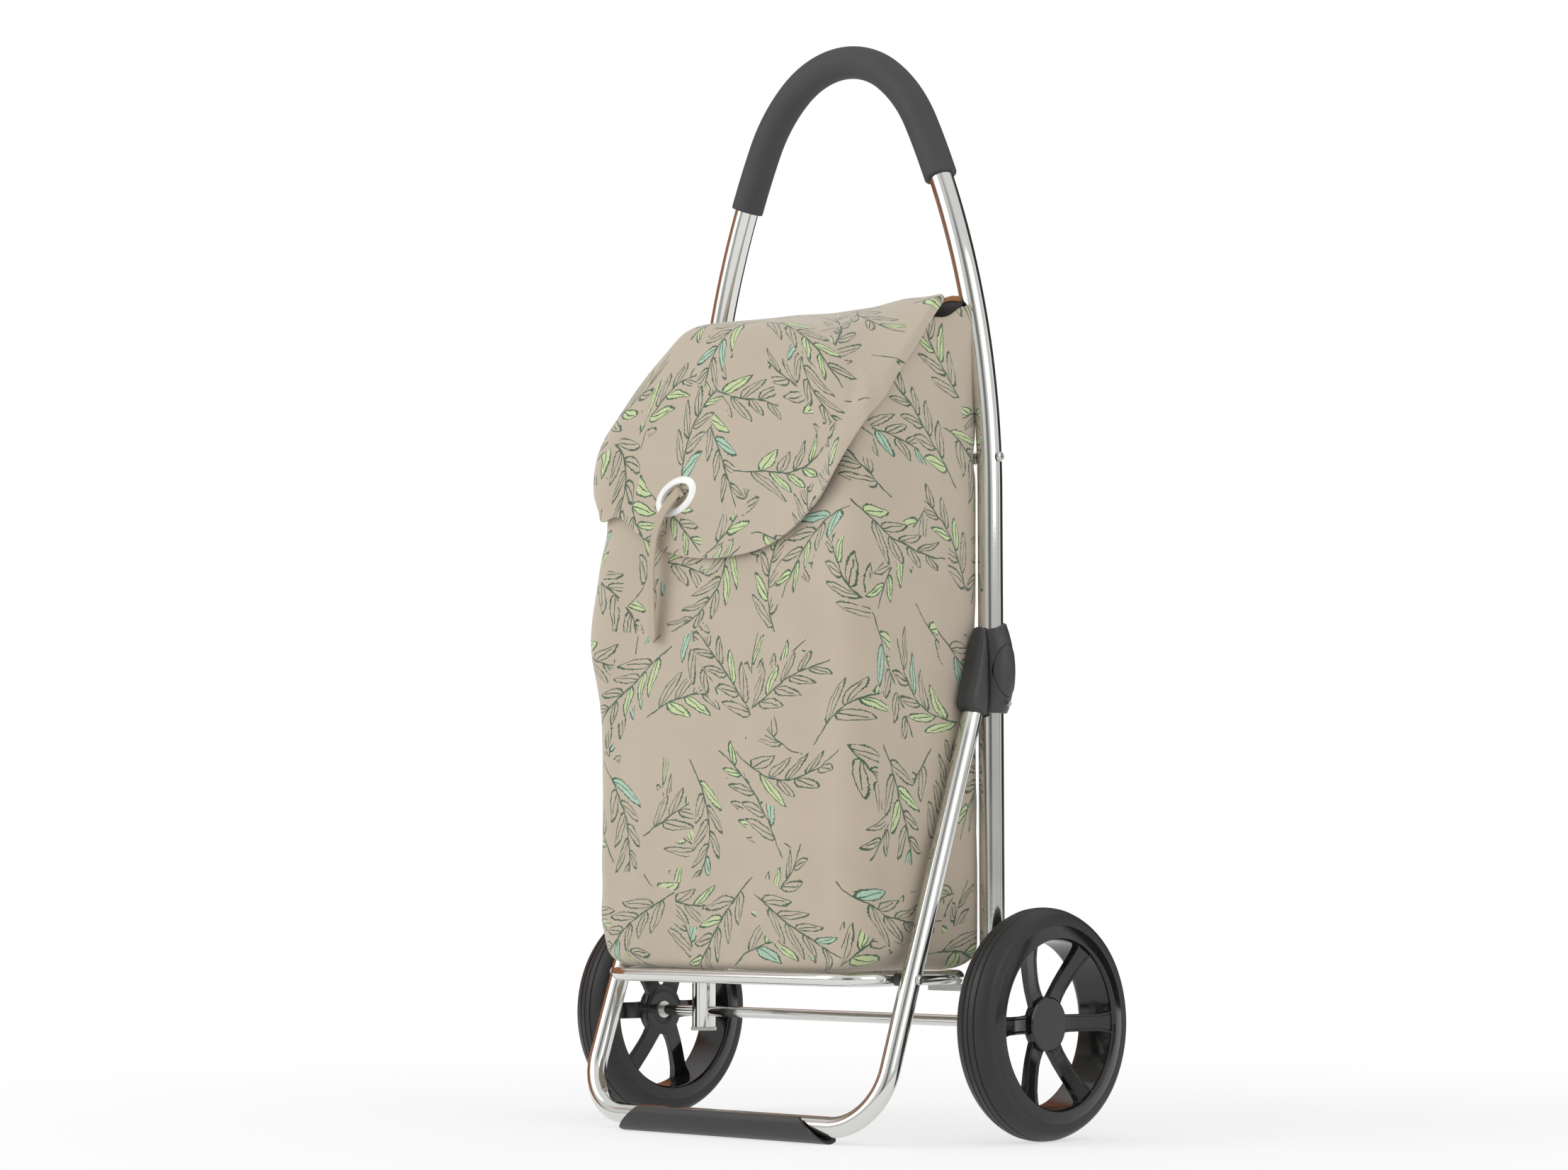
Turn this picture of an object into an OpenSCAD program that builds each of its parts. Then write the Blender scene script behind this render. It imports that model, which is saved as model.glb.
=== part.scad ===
// Folding shopping trolley: a bent tube hoop on two wheels, a hinged front
// leg, a loading ring and a fabric bag with a flap.
// X runs along the axle, -Y is the front, Z is up. The wheels and the foot
// stand on Z = 0, and Y = 0 is midway between foot and wheels.

/* [Rear frame] */
// Height of the hoop over the floor
hoop_height = 988; // [940:1:1040]
// Distance between the centres of the two uprights
upright_gap = 356; // [350:1:366]
// Outer diameter of the hoop's tube
hoop_tube_d = 22; // [21:0.5:23]
// Wall of the hoop's tube
hoop_wall = 1.5; // [1:0.1:2]
// Height of the hoop's open ends over the floor
hoop_foot_z = 85; // [80:1:88]
// Radius of the long lower bend, on the tube's centre line
hoop_low_r = 780; // [760:5:800]
// Angle of the long lower bend
hoop_low_angle = 26.2; // [25.6:0.1:26.6]
// Radius of the shoulder bend
hoop_mid_r = 140; // [130:1:150]
// Angle of the shoulder bend
hoop_mid_angle = 26; // [24:0.5:27]
// Diameter of the foam grip
grip_d = 30; // [28:0.5:34]
// Height of the grip's two ends over the floor
grip_end_z = 854; // [820:1:880]
// Height of the cross bar that carries the bag
cross_bar_z = 595; // [560:1:620]
// Diameter of the cross bar
cross_bar_d = 12; // [10:0.5:14]

/* [Wheels] */
// Diameter of the wheels
wheel_d = 200; // [196:1:206]
// Distance between the middles of the two tyres
track = 470; // [466:1:480]
// Width of the tyre at the rim
tyre_w = 40; // [38:0.5:42]
// Radius at which the tyre meets the rim
rim_r = 86; // [84:0.5:88]
// Radius of the opening inside the rim
rim_open_r = 74; // [72:0.5:76]
// Number of spokes
spoke_count = 6; // [5:1:7]
// Width of a spoke
spoke_w = 15; // [12:0.5:17]
// Diameter of the wheel hub
hub_d = 47; // [44:0.5:50]
// Diameter of the axle rod
axle_d = 10; // [9:0.5:11]

/* [Front leg] */
// Outer diameter of the leg's tube
leg_tube_d = 18; // [17:0.5:19]
// Wall of the leg's tube
leg_wall = 1.5; // [1:0.1:2]
// Lean of the leg from the upright
leg_lean = 19.6; // [19:0.1:20]
// Distance of the hinge pin in front of the axle's plane
hinge_y = 22.2; // [22:0.1:23]
// Height of the hinge pin over the floor
hinge_z = 378; // [372:1:384]
// Radius of the leg's two bottom bends
leg_bend_r = 52; // [46:1:60]
// Length of the foot sleeve, along its lower edge
sleeve_len = 250; // [230:1:256]
// Outer diameter of the foot sleeve
sleeve_d = 29; // [27:0.5:31]
// Wall of the foot sleeve
sleeve_wall = 3; // [2:0.25:3.5]

/* [Hinge clips] */
// Height of a clip
clip_h = 74; // [70:1:80]
// Bulge of a clip beyond the upright's centre
clip_reach = 25; // [24:0.5:27]
// Wall of a clip round the upright
clip_wall = 3.2; // [2.6:0.1:3.4]
// Height of the oval button
button_h = 44; // [38:1:48]
// Width of the oval button
button_w = 22; // [18:0.5:23]
// Diameter of the hinge pin
pin_d = 6; // [5:0.25:7]

/* [Loading ring] */
// Width of the ring over its tube
ring_w = 324; // [318:1:328]
// Reach of the ring in front of the axle's plane
ring_front = 160; // [154:1:161]
// Gap between the ring's rear and the axle's plane
ring_rear = 2; // [1:0.5:4]
// Outer diameter of the ring's tube
ring_tube_d = 12; // [11:0.5:13]
// Height of the ring's centre line over the floor
ring_z = 139; // [136:1:142]
// Outer radius of the ring's corners
ring_corner_r = 45; // [40:1:48]

/* [Bag] */
// Width of the bag
bag_w = 322; // [316:1:324]
// Reach of the bag in front of the axle's plane
bag_front = 155; // [150:1:156]
// Gap between the bag's back and the axle's plane
bag_rear = 9; // [8:0.5:12]
// Height of the bag's back edge over the floor
bag_top_z = 735; // [715:1:745]
// Height of the bag's front edge over the floor
bag_lip_z = 588; // [570:1:592]
// Thickness of the bag's padded cloth
cloth_t = 3; // [2:0.25:4]
// Height of the flap's lowest point over the floor
flap_tip_z = 507; // [500:1:530]
// Thickness of the flap
flap_t = 2.5; // [2:0.25:3]
// Outer length of the oval eyelet
eyelet_l = 53; // [48:0.5:56]
// Outer width of the eyelet
eyelet_w = 32; // [30:0.5:36]
// Length of the eyelet's hole
eyelet_hole_l = 37; // [34:0.5:40]
// Width of the eyelet's hole
eyelet_hole_w = 20; // [18:0.5:22]
// How far the eyelet's right end is turned up
eyelet_turn = 20; // [0:1:30]

/* [Hidden] */

$fn = 64;
round_fn = 128;      // large round parts
hull_fn = 32;        // bodies blended with hull()
eps = 0.01;          // overshoot of a cut past a face
play = 0.3;          // gap between bodies that pass each other
run_play = 0.05;     // radial play of a pin that turns in its hole
snug = 0.1;          // gap round a piece set in its seat

// hoop
upright_x = upright_gap / 2;
hoop_r = hoop_tube_d / 2;
hoop_top_z = hoop_height - hoop_r;
hoop_mid_end = hoop_low_angle + hoop_mid_angle;
hoop_low_in = hoop_low_r * (1 - cos(hoop_low_angle));
hoop_mid_in = hoop_mid_r * (cos(hoop_low_angle) - cos(hoop_mid_end));
hoop_top_r = (upright_x - hoop_low_in - hoop_mid_in) / cos(hoop_mid_end);
hoop_bend_z = hoop_top_z - hoop_low_r * sin(hoop_low_angle)
    - hoop_mid_r * (sin(hoop_mid_end) - sin(hoop_low_angle)) - hoop_top_r * (1 - sin(hoop_mid_end));
grip_angle = asin((grip_end_z - hoop_bend_z) / hoop_low_r);
grip_bore_r = hoop_r + snug;
function hoop_in(z) = hoop_low_r * (1 - cos(asin(max(0, z - hoop_bend_z) / hoop_low_r)));
hoop_sides = 24;                     // facets round the hoop and its grip
plug_lip_t = 3;
plug_lip_d = hoop_tube_d + 2;
plug_spigot = 14;

// wheels and axle
wheel_r = wheel_d / 2;
wheel_z = wheel_r;
wheel_x = track / 2;
axle_r = axle_d / 2;
hub_in = 2.4;                        // hub's inner face from the wheel's middle
hub_out = 3.6;                       // hub's outer face from the wheel's middle
hub_face = 7.1;                      // hub cap's face from the wheel's middle
cap_t = 1.2;
cap_wall = 2.5;
bush_r = axle_r + 3;
washer_t = 1;
washer_r = axle_r + 3;
axle_clip_t = 1.4;
axle_clip_r = axle_r + 2.5;
axle_end = hub_out + axle_clip_t + 0.4;
rim_lip_x = 21;                      // rim's edge from the wheel's middle
rim_seat_x = tyre_w / 2 - 1.5;       // tyre's bead from the wheel's middle
rim_floor_r = rim_r - 7;             // outside of the rim's barrel under the tyre
rim_barrel_r = rim_open_r - 2;       // inside of the rim's barrel
spoke_t = 6;

// leg: drawn hanging straight down from the hinge pin, then leaned forward
leg_x = upright_x + 0.5;
leg_r = leg_tube_d / 2;
clip_drop = 9;                       // clip's lower end below the pin
leg_start = clip_drop + 0.5;         // tube's upper end below the pin, clear of the folded clip
sleeve_r = sleeve_d / 2;
leg_foot_z = sleeve_r;               // centre of the bottom bar over the floor
leg_len = (hinge_z - leg_foot_z) / cos(leg_lean);
foot_y = hinge_y + leg_len * sin(leg_lean);
ring_drop = (hinge_z - ring_z) / cos(leg_lean);
ring_pivot_y = hinge_y + ring_drop * sin(leg_lean);

// the origin is midway between the foot and the back of the wheels
axle_y = (foot_y + sleeve_r - wheel_r) / 2;

// clips
clip_r = hoop_r + clip_wall;
clip_low_z = hinge_z - clip_drop;
clip_mid_z = clip_low_z + clip_h / 2;
clip_face_x = upright_x + clip_reach;
clip_edge = 11;                      // how far the bulge falls away at the clip's ends
clip_face_r = (clip_h * clip_h / 4 + clip_edge * clip_edge) / (2 * clip_edge);
tongue_t = 8.8;
tongue_r = 6.4;
head_w = 25;
head_top = 65;                       // leg head's rear edge over the pin
head_low = 14;                       // its lowest point under the pin
head_deep = 17;                      // its reach in front of the pin
head_cut = 2 * head_top;             // reach of a cut through the head
spigot_len = 24;                     // plug of the head in the leg's tube
slot_w = tongue_t + 0.6;
button_travel = 2.5;
button_web = 1.2;                    // clip's wall behind the button
button_x = upright_x + hoop_r + snug + button_web + button_travel + play; // back of the button
button_proud = 0.8;
button_seat = 6;                     // depth of the spring's seat in the button
spring_r = 4;
spring_wire = 0.8;
spring_turns = 4;
rivet_z = clip_low_z + 8;

// ring
ring_r = ring_tube_d / 2;
ring_bend_r = ring_corner_r - ring_r;
ring_side_x = ring_w / 2 - ring_r;
ring_front_y = ring_front - ring_r;
ring_rear_y = ring_rear + ring_r;
spacer_r = 5.5;
screw_r = 2;
screw_head_r = 4.4;
rest_h = 6;
rest_wall = 1.8;                     // collar of a ring rest round the upright
rest_front_y = hinge_y - ring_r - 2 * play; // clear of the ring as it stands folded

// bag
bag_low_z = ring_z + ring_r + play;
bag_side = bag_w / 2;
bag_depth = bag_front - bag_rear;
bag_corner_r = 24;
bag_floor_r = 30;
flap_out = bag_side + 1 + flap_t;    // flap's half width over the bag
flap_gap = 2;                        // room for the eyelet's inner face
flap_front = bag_front + flap_gap + flap_t;
flap_hinge_y = 17;
flap_hinge_z = bag_top_z;
flap_roll = 6;
flap_side_z = bag_lip_z + 12;        // flap's edge at the bag's front corners
flap_rise = flap_side_z - flap_tip_z;
flap_arc_r = (flap_out * flap_out + flap_rise * flap_rise) / (2 * flap_rise);
lip_slope = (bag_top_z - 7 - bag_lip_z) / (bag_front - flap_hinge_y);
eyelet_x = -55.5;
eyelet_z = 565.5;
eyelet_wall = 1;                     // wall of the eyelet's tube
loop_x = 95;
loop_w = 30;
loop_t = 2;
loop_drop = 30;                      // how far a loop's tail hangs down the bag's back
board_t = 3;
board_gap = 8;

// centre line of the closing strap, from behind the flap out through the eyelet
strap_route = [
    [-49.5, -157.6, 569.7], [-50.5, -158.9, 569.2], [-52.5, -160.6, 568], [-55.5, -163, 564],
    [-60, -165, 558], [-65, -166.5, 550.5], [-69.5, -167.5, 541], [-73, -168.5, 529],
    [-75, -169, 516], [-75.8, -169.5, 503], [-76, -170, 490], [-75.5, -170, 476],
    [-74.6, -170, 462], [-74, -170, 449], [-73.5, -170, 437]
];
strap_w = 13;
strap_t = 3;

// placing
module at_axle_plane() {
    translate([0, axle_y, 0]) children();
}

module both_sides() {
    children();
    mirror([1, 0, 0]) children();
}

module along_x(x0, x1, r) {
    translate([x0, 0, 0]) rotate([0, 90, 0]) cylinder(h = x1 - x0, r = r);
}

// a bend of tube in the X-Z plane, from angle a0 to angle a1
module bend(cx, cz, r, a0, a1, outer, bore) {
    translate([cx, 0, cz]) rotate([90, 0, 0]) rotate([0, 0, a0])
        rotate_extrude(angle = a1 - a0, $fn = round_fn)
            translate([r, 0]) ring_section(outer, bore);
}

module ring_section(outer, bore) {
    difference() {
        circle(r = outer);
        circle(r = bore);
    }
}

// the hoop's centre line on the right, from a start angle up to the top:
// [x, z, angle of the outward normal]
function arc_stops(cx, cz, r, a0, a1, steps) =
    [for (i = [0:steps]) let (a = a0 + (a1 - a0) * i / steps) [cx + r * cos(a), cz + r * sin(a), a]];
function but_last(v) = [for (i = [0:len(v) - 2]) v[i]];
function right_arch(a0) =
    let (low_x = upright_x - hoop_low_r,
        mid_x = low_x + (hoop_low_r - hoop_mid_r) * cos(hoop_low_angle),
        mid_z = hoop_bend_z + (hoop_low_r - hoop_mid_r) * sin(hoop_low_angle))
    concat(a0 < grip_angle ? but_last(arc_stops(low_x, hoop_bend_z, hoop_low_r, a0, grip_angle, 8)) : [],
        but_last(arc_stops(low_x, hoop_bend_z, hoop_low_r, grip_angle, hoop_low_angle, 2)),
        but_last(arc_stops(mid_x, mid_z, hoop_mid_r, hoop_low_angle, hoop_mid_end, 6)),
        arc_stops(0, hoop_top_z - hoop_top_r, hoop_top_r, hoop_mid_end, 90, 8));
function hoop_stops(a0) = let (right = right_arch(a0))
    concat(right, [for (i = [len(right) - 2:-1:0]) [-right[i][0], right[i][1], 180 - right[i][2]]]);

// hollow tube along such stops, as one closed polyhedron
module arch_tube(stops, outer, bore) {
    n = len(stops);
    points = [for (r = [outer, bore]) for (s = stops) for (k = [0:hoop_sides - 1])
        let (b = k * 360 / hoop_sides, out = r * cos(b))
        [s[0] + out * cos(s[2]), r * sin(b), s[1] + out * sin(s[2])]];
    function at(shell, i, k) = (shell * n + i) * hoop_sides + k % hoop_sides;
    walls = [for (i = [0:n - 2]) for (k = [0:hoop_sides - 1]) each [
        [at(0, i, k), at(0, i, k + 1), at(0, i + 1, k + 1), at(0, i + 1, k)],
        [at(1, i, k + 1), at(1, i, k), at(1, i + 1, k), at(1, i + 1, k + 1)]]];
    rims = [for (k = [0:hoop_sides - 1]) each [
        [at(0, 0, k + 1), at(0, 0, k), at(1, 0, k), at(1, 0, k + 1)],
        [at(0, n - 1, k), at(0, n - 1, k + 1), at(1, n - 1, k + 1), at(1, n - 1, k)]]];
    polyhedron(points = points, faces = concat(walls, rims), convexity = 6);
}

// rear frame
module handle_hoop() {
    color("silver") at_axle_plane() difference() {
        arch_tube(concat([[upright_x, hoop_foot_z, 0]], hoop_stops(0), [[-upright_x, hoop_foot_z, 180]]),
            hoop_r, hoop_r - hoop_wall);
        translate([0, 0, wheel_z]) along_x(-track / 2, track / 2, axle_r + snug);
        both_sides() {
            translate([0, 0, cross_bar_z]) along_x(upright_x, track / 2, screw_r + snug);
            translate([0, 0, cross_bar_z]) along_x(0, upright_x, screw_r + snug);
            translate([0, 0, rivet_z]) along_x(upright_x - track / 4, upright_x + track / 4, screw_r + snug);
        }
    }
}

module handle_grip() {
    color("dimgray") at_axle_plane() arch_tube(hoop_stops(grip_angle), grip_d / 2, grip_bore_r);
}

module tube_plugs() {
    color("gainsboro") at_axle_plane() both_sides()
        translate([upright_x, 0, hoop_foot_z - plug_lip_t]) {
            cylinder(h = plug_lip_t, r = plug_lip_d / 2);
            difference() {
                cylinder(h = plug_lip_t + plug_spigot - 6, r = hoop_r - hoop_wall - snug);
                translate([0, 0, plug_lip_t]) cylinder(h = plug_spigot, r = hoop_r - hoop_wall - 2);
            }
        }
}

module cross_bar() {
    end_x = upright_x - hoop_r - hoop_in(cross_bar_z + cross_bar_d / 2) - run_play;
    color("silver") at_axle_plane() translate([0, 0, cross_bar_z]) difference() {
        along_x(-end_x, end_x, cross_bar_d / 2);
        both_sides() along_x(upright_x - 40, upright_x, screw_r);
    }
}

// pan head with a cross slot, its shank pointing to -X
module pan_screw(length) {
    difference() {
        rotate([0, 90, 0]) rotate_extrude()
            polygon([[0, -length], [screw_r, -length], [screw_r, 0], [screw_head_r, 0],
                [screw_head_r, 1], [screw_head_r - 0.8, 2.2], [screw_head_r - 2.2, 2.9], [0, 3]]);
        for (a = [0, 90]) rotate([a, 0, 0]) translate([1.6, -0.5, -2.4]) cube([3, 1, 4.8]);
    }
}

module cross_bar_screws() {
    color("gainsboro") at_axle_plane() both_sides()
        translate([upright_x + hoop_r, 0, cross_bar_z]) pan_screw(hoop_tube_d + 18);
}

// hinge clips
module clip_outline(grow) {
    intersection() {
        translate([0, 0, clip_low_z - 20]) union() {
            translate([upright_x, 0, 0]) cylinder(h = clip_h + 40, r = clip_r + grow);
            translate([clip_face_x - clip_r, 0, 0]) cylinder(h = clip_h + 40, r = clip_r + grow);
            translate([upright_x, -clip_r - grow, 0])
                cube([clip_reach - clip_r, 2 * (clip_r + grow), clip_h + 40]);
        }
        translate([clip_face_x - clip_face_r, 0, clip_mid_z]) rotate([90, 0, 0])
            cylinder(h = 80, r = clip_face_r + grow, center = true, $fn = round_fn);
    }
}

// side view of the clip's upper edge, which falls towards the front
module clip_side() {
    rotate([90, 0, 90]) linear_extrude(clip_face_x + 20)
        polygon([[-clip_r - 1, clip_low_z], [clip_r + 1, clip_low_z],
            [clip_r + 1, clip_low_z + clip_h - 3], [1, clip_low_z + clip_h + 3],
            [-clip_r - 1, clip_low_z + clip_h - 4]]);
}

module button_prism(grow, x0, x1) {
    translate([x0, 0, clip_mid_z]) rotate([90, 0, 90]) linear_extrude(x1 - x0)
        polygon([for (i = [0:47]) let (a = i * 360 / 48)
            [(button_w / 2 + grow) * cos(a), (button_h / 2 + grow) * sin(a)]]);
}

module clip_right_solid() {
    difference() {
        union() {
            intersection() {
                clip_outline(0);
                clip_side();
            }
            // tongue that carries the hinge pin
            translate([leg_x - tongue_t / 2, -hinge_y, hinge_z - tongue_r])
                cube([tongue_t, hinge_y - hoop_r, 2 * tongue_r]);
            translate([0, -hinge_y, hinge_z]) along_x(leg_x - tongue_t / 2, leg_x + tongue_t / 2, tongue_r);
        }
        translate([upright_x, 0, clip_low_z - 10]) cylinder(h = clip_h + 20, r = hoop_r + snug);
        button_prism(play, button_x - button_travel - play, clip_face_x + 10);
        translate([0, 0, clip_mid_z])
            along_x(upright_x + hoop_r, button_x, spring_r + 1.4);
        translate([0, -hinge_y, hinge_z]) along_x(upright_x - 30, upright_x + 30, pin_d / 2);
        translate([0, 0, rivet_z]) along_x(upright_x - 30, upright_x + 30, screw_r + snug);
        translate([0, 0, rivet_z]) along_x(upright_x + 22, upright_x + 40, screw_head_r + snug);
    }
}

module clip_right() {
    color("dimgray") at_axle_plane() clip_right_solid();
}

module clip_left() {
    color("dimgray") at_axle_plane() mirror([1, 0, 0]) clip_right_solid();
}

module clip_rivets() {
    color("gainsboro") at_axle_plane() both_sides() translate([0, 0, rivet_z]) {
        along_x(upright_x - clip_r + 0.4, upright_x + 22, screw_r);
    }
}

module hinge_pins() {
    color("gainsboro") at_axle_plane() both_sides() translate([0, -hinge_y, hinge_z])
        along_x(leg_x - head_w / 2 + 1, leg_x + head_w / 2 - 1, pin_d / 2);
}

module button_right_solid() {
    difference() {
        intersection() {
            clip_outline(button_proud);
            button_prism(0, button_x, clip_face_x + 10);
        }
        translate([0, 0, clip_mid_z]) along_x(button_x - 1, button_x + button_seat, spring_r + 1);
    }
}

module button_right() {
    color("dimgray") at_axle_plane() button_right_solid();
}

module button_left() {
    color("dimgray") at_axle_plane() mirror([1, 0, 0]) button_right_solid();
}

// coil spring between the upright and the seat in each button
module coil(x0, x1) {
    steps = spring_turns * 16;
    pitch = (x1 - x0 - spring_wire) / spring_turns;
    coil_r = spring_r - spring_wire / 2;
    points = [for (i = [0:steps]) let (a = i * 22.5) for (k = [0:7]) let (b = k * 45)
        [x0 + spring_wire / 2 * (1 + sin(b)) + pitch * i / 16,
            (coil_r + spring_wire / 2 * cos(b)) * cos(a), (coil_r + spring_wire / 2 * cos(b)) * sin(a)]];
    sides = [for (i = [0:steps - 1], k = [0:7]) let (m = (k + 1) % 8)
        [i * 8 + k, i * 8 + m, (i + 1) * 8 + m, (i + 1) * 8 + k]];
    ends = [[for (k = [7:-1:0]) k], [for (k = [0:7]) steps * 8 + k]];
    polyhedron(points = points, faces = concat(sides, ends), convexity = 8);
}

module button_springs() {
    color("silver") at_axle_plane() both_sides() translate([0, 0, clip_mid_z])
        coil(upright_x + hoop_r + snug, button_x + button_seat - play);
}

// moulded rests under the rear corners of the loading ring
module ring_rests() {
    top = ring_z - ring_r - play;
    color("dimgray") at_axle_plane() both_sides() difference() {
        union() {
            translate([upright_x, 0, top - rest_h]) cylinder(h = rest_h, r = hoop_r + rest_wall);
            translate([ring_side_x - ring_bend_r, -rest_front_y, top - rest_h])
                cube([upright_x - ring_side_x + ring_bend_r - hoop_r, rest_front_y - ring_rear, rest_h]);
        }
        translate([upright_x, 0, top - rest_h - 1]) cylinder(h = rest_h + 2, r = hoop_r);
    }
}

module axle() {
    color("silver") at_axle_plane() translate([0, 0, wheel_z])
        along_x(-wheel_x - axle_end, wheel_x + axle_end, axle_r);
}

module washer(x0, t, r) {
    difference() {
        along_x(x0, x0 + t, r);
        along_x(x0 - 1, x0 + t + 1, axle_r);
    }
}

module axle_washers() {
    color("silver") at_axle_plane() translate([0, 0, wheel_z]) both_sides()
        washer(wheel_x - hub_in - play - washer_t, washer_t, washer_r);
}

module axle_clips() {
    color("silver") at_axle_plane() translate([0, 0, wheel_z]) both_sides()
        washer(wheel_x + hub_out + play, axle_clip_t - play, axle_clip_r);
}

// front leg
module lean() {
    at_axle_plane() translate([0, -hinge_y, hinge_z]) rotate([-leg_lean, 0, 0]) children();
}

module leg_frame() {
    inner = leg_r - leg_wall;
    color("silver") lean() difference() {
        union() {
            both_sides() {
                translate([leg_x, 0, -leg_len + leg_bend_r]) difference() {
                    cylinder(h = leg_len - leg_bend_r - leg_start, r = leg_r);
                    translate([0, 0, -eps]) cylinder(h = leg_len, r = inner);
                }
                bend(leg_x - leg_bend_r, -leg_len + leg_bend_r, leg_bend_r, -90, 0, leg_r, inner);
            }
            translate([0, 0, -leg_len]) difference() {
                along_x(-leg_x + leg_bend_r, leg_x - leg_bend_r, leg_r);
                along_x(-leg_x + leg_bend_r - eps, leg_x - leg_bend_r + eps, inner);
            }
        }
        both_sides() translate([0, 0, -ring_drop]) along_x(leg_x - 2 * leg_r, leg_x + 2 * leg_r, screw_r + snug);
    }
}

// moulded end of each leg: a forked head with a spigot in the tube
module leg_end_solid() {
    clear = hinge_y - clip_r - play;
    difference() {
        union() {
            intersection() {
                rotate([leg_lean, 0, 0]) rotate([90, 0, 90])
                    translate([0, 0, leg_x - head_w / 2]) linear_extrude(head_w)
                        polygon([[-head_deep, -head_low], [-head_deep, head_top / 8],
                            [-head_deep / 3, head_top * 0.62], [clear / 5, head_top - 1],
                            [clear, head_top], [clear, -head_low]]);
                translate([0, clear - head_top, -leg_start]) cube([upright_gap, head_top, head_cut]);
            }
            translate([leg_x, 0, -leg_start - spigot_len])
                cylinder(h = spigot_len + 2, r = leg_r - leg_wall - snug);
        }
        // slot for the clip's tongue
        translate([leg_x - slot_w / 2, -tongue_r - 0.6, -0.2])
            cube([slot_w, head_cut, head_cut]);
        translate([leg_x - slot_w / 2, 0, -tongue_r - 0.5]) cube([slot_w, head_cut, head_top]);
        translate([0, 0, -0.2]) along_x(leg_x - slot_w / 2, leg_x + slot_w / 2, tongue_r + 0.5);
        along_x(leg_x - head_w, leg_x + head_w, pin_d / 2 + run_play);
    }
}

module leg_ends() {
    color("dimgray") lean() both_sides() leg_end_solid();
}

module foot_sleeve() {
    half = sleeve_len / 2;
    color("black") lean() translate([0, 0, -leg_len]) difference() {
        along_x(-half, half, sleeve_r);
        along_x(-half - 1, half + 1, sleeve_r - sleeve_wall);
        // open along the top, with slanted ends
        rotate([leg_lean, 0, 0]) {
            translate([-half - 1, -sleeve_r + 6, 3]) cube([sleeve_len + 2, 2 * sleeve_r, sleeve_r]);
            translate([-half - 1, -sleeve_r - 1, 8]) cube([sleeve_len + 2, 2 * sleeve_r, sleeve_r]);
            both_sides() translate([half - 34, -sleeve_r - 1, sleeve_r])
                rotate([0, 38, 0]) cube([60, 2 * sleeve_r + 2, 30]);
        }
    }
}

module ring_spacers() {
    color("dimgray") at_axle_plane() both_sides() translate([0, -ring_pivot_y, ring_z])
        difference() {
            along_x(ring_w / 2 + play, leg_x - leg_r + 0.6, spacer_r);
            along_x(ring_w / 2 - 1, leg_x, screw_r + snug);
            translate([leg_x - upright_x, 0, 0]) rotate([-leg_lean, 0, 0])
                translate([upright_x, 0, -30]) cylinder(h = 60, r = leg_r);
        }
}

module ring_screws() {
    color("gainsboro") at_axle_plane() both_sides()
        translate([leg_x + leg_r + run_play, -ring_pivot_y, ring_z])
            pan_screw(leg_x + leg_r - ring_side_x - 2);
}

// loading ring
module loading_ring() {
    mid_y = -(ring_front_y + ring_rear_y) / 2;
    half_y = (ring_front_y - ring_rear_y) / 2;
    color("silver") at_axle_plane() translate([0, mid_y, ring_z]) difference() {
        for (sx = [0, 1], sy = [0, 1]) mirror([sx, 0, 0]) mirror([0, sy, 0]) {
            translate([ring_side_x - ring_bend_r, half_y - ring_bend_r, 0])
                rotate_extrude(angle = 90) translate([ring_bend_r, 0]) circle(r = ring_r, $fn = hull_fn);
            translate([0, half_y, 0]) along_x(0, ring_side_x - ring_bend_r, ring_r);
            translate([ring_side_x, 0, 0]) rotate([-90, 0, 0])
                cylinder(h = half_y - ring_bend_r, r = ring_r);
        }
        both_sides() translate([0, -ring_pivot_y - mid_y, 0])
            along_x(ring_side_x - 3, ring_side_x + 20, screw_r + run_play);
    }
}

// wheels: drawn about the Z axis with the outer side up
module wheel_at(side) {
    at_axle_plane() translate([side * wheel_x, 0, wheel_z]) rotate([0, side * 90, 0]) children();
}

module tyre_solid() {
    bead_x = rim_seat_x - 3 - 2 * snug;
    rotate_extrude($fn = round_fn) difference() {
        intersection() {
            polygon([[rim_floor_r + snug, -bead_x], [rim_r - 1 + snug, -bead_x - 1.8],
                [rim_r - 1 + snug, -rim_seat_x], [wheel_r - 9, -rim_seat_x],
                [wheel_r - 3, -12.6], [wheel_r, -5], [wheel_r, 5], [wheel_r - 3, 12.6],
                [wheel_r - 9, rim_seat_x], [rim_r - 1 + snug, rim_seat_x],
                [rim_r - 1 + snug, bead_x + 1.8], [rim_floor_r + snug, bead_x]]);
            translate([wheel_r - 26, 0]) circle(r = 26);
        }
        for (g = [-6, 0, 6]) translate([wheel_r - 0.6, g - 0.4]) square([2, 0.8]);
    }
}

module tyre_left() {
    color("black") wheel_at(-1) tyre_solid();
}

module tyre_right() {
    color("black") wheel_at(1) tyre_solid();
}

// side view of a spoke from hub to rim, swept across its width
module spoke() {
    rotate([90, 0, 0]) linear_extrude(spoke_w, center = true)
        polygon([[hub_d / 2 - 4, -hub_in], [hub_d / 2 + 14, -hub_in + 2], [rim_open_r - 14, 5.5],
            [rim_open_r, 11], [rim_open_r, 11 + spoke_t + 2], [rim_open_r - 14, 11.5 + 1],
            [hub_d / 2 + 14, hub_out + 1.8], [hub_d / 2 + snug, hub_out], [hub_d / 2 - 4, hub_out]]);
}

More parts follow.
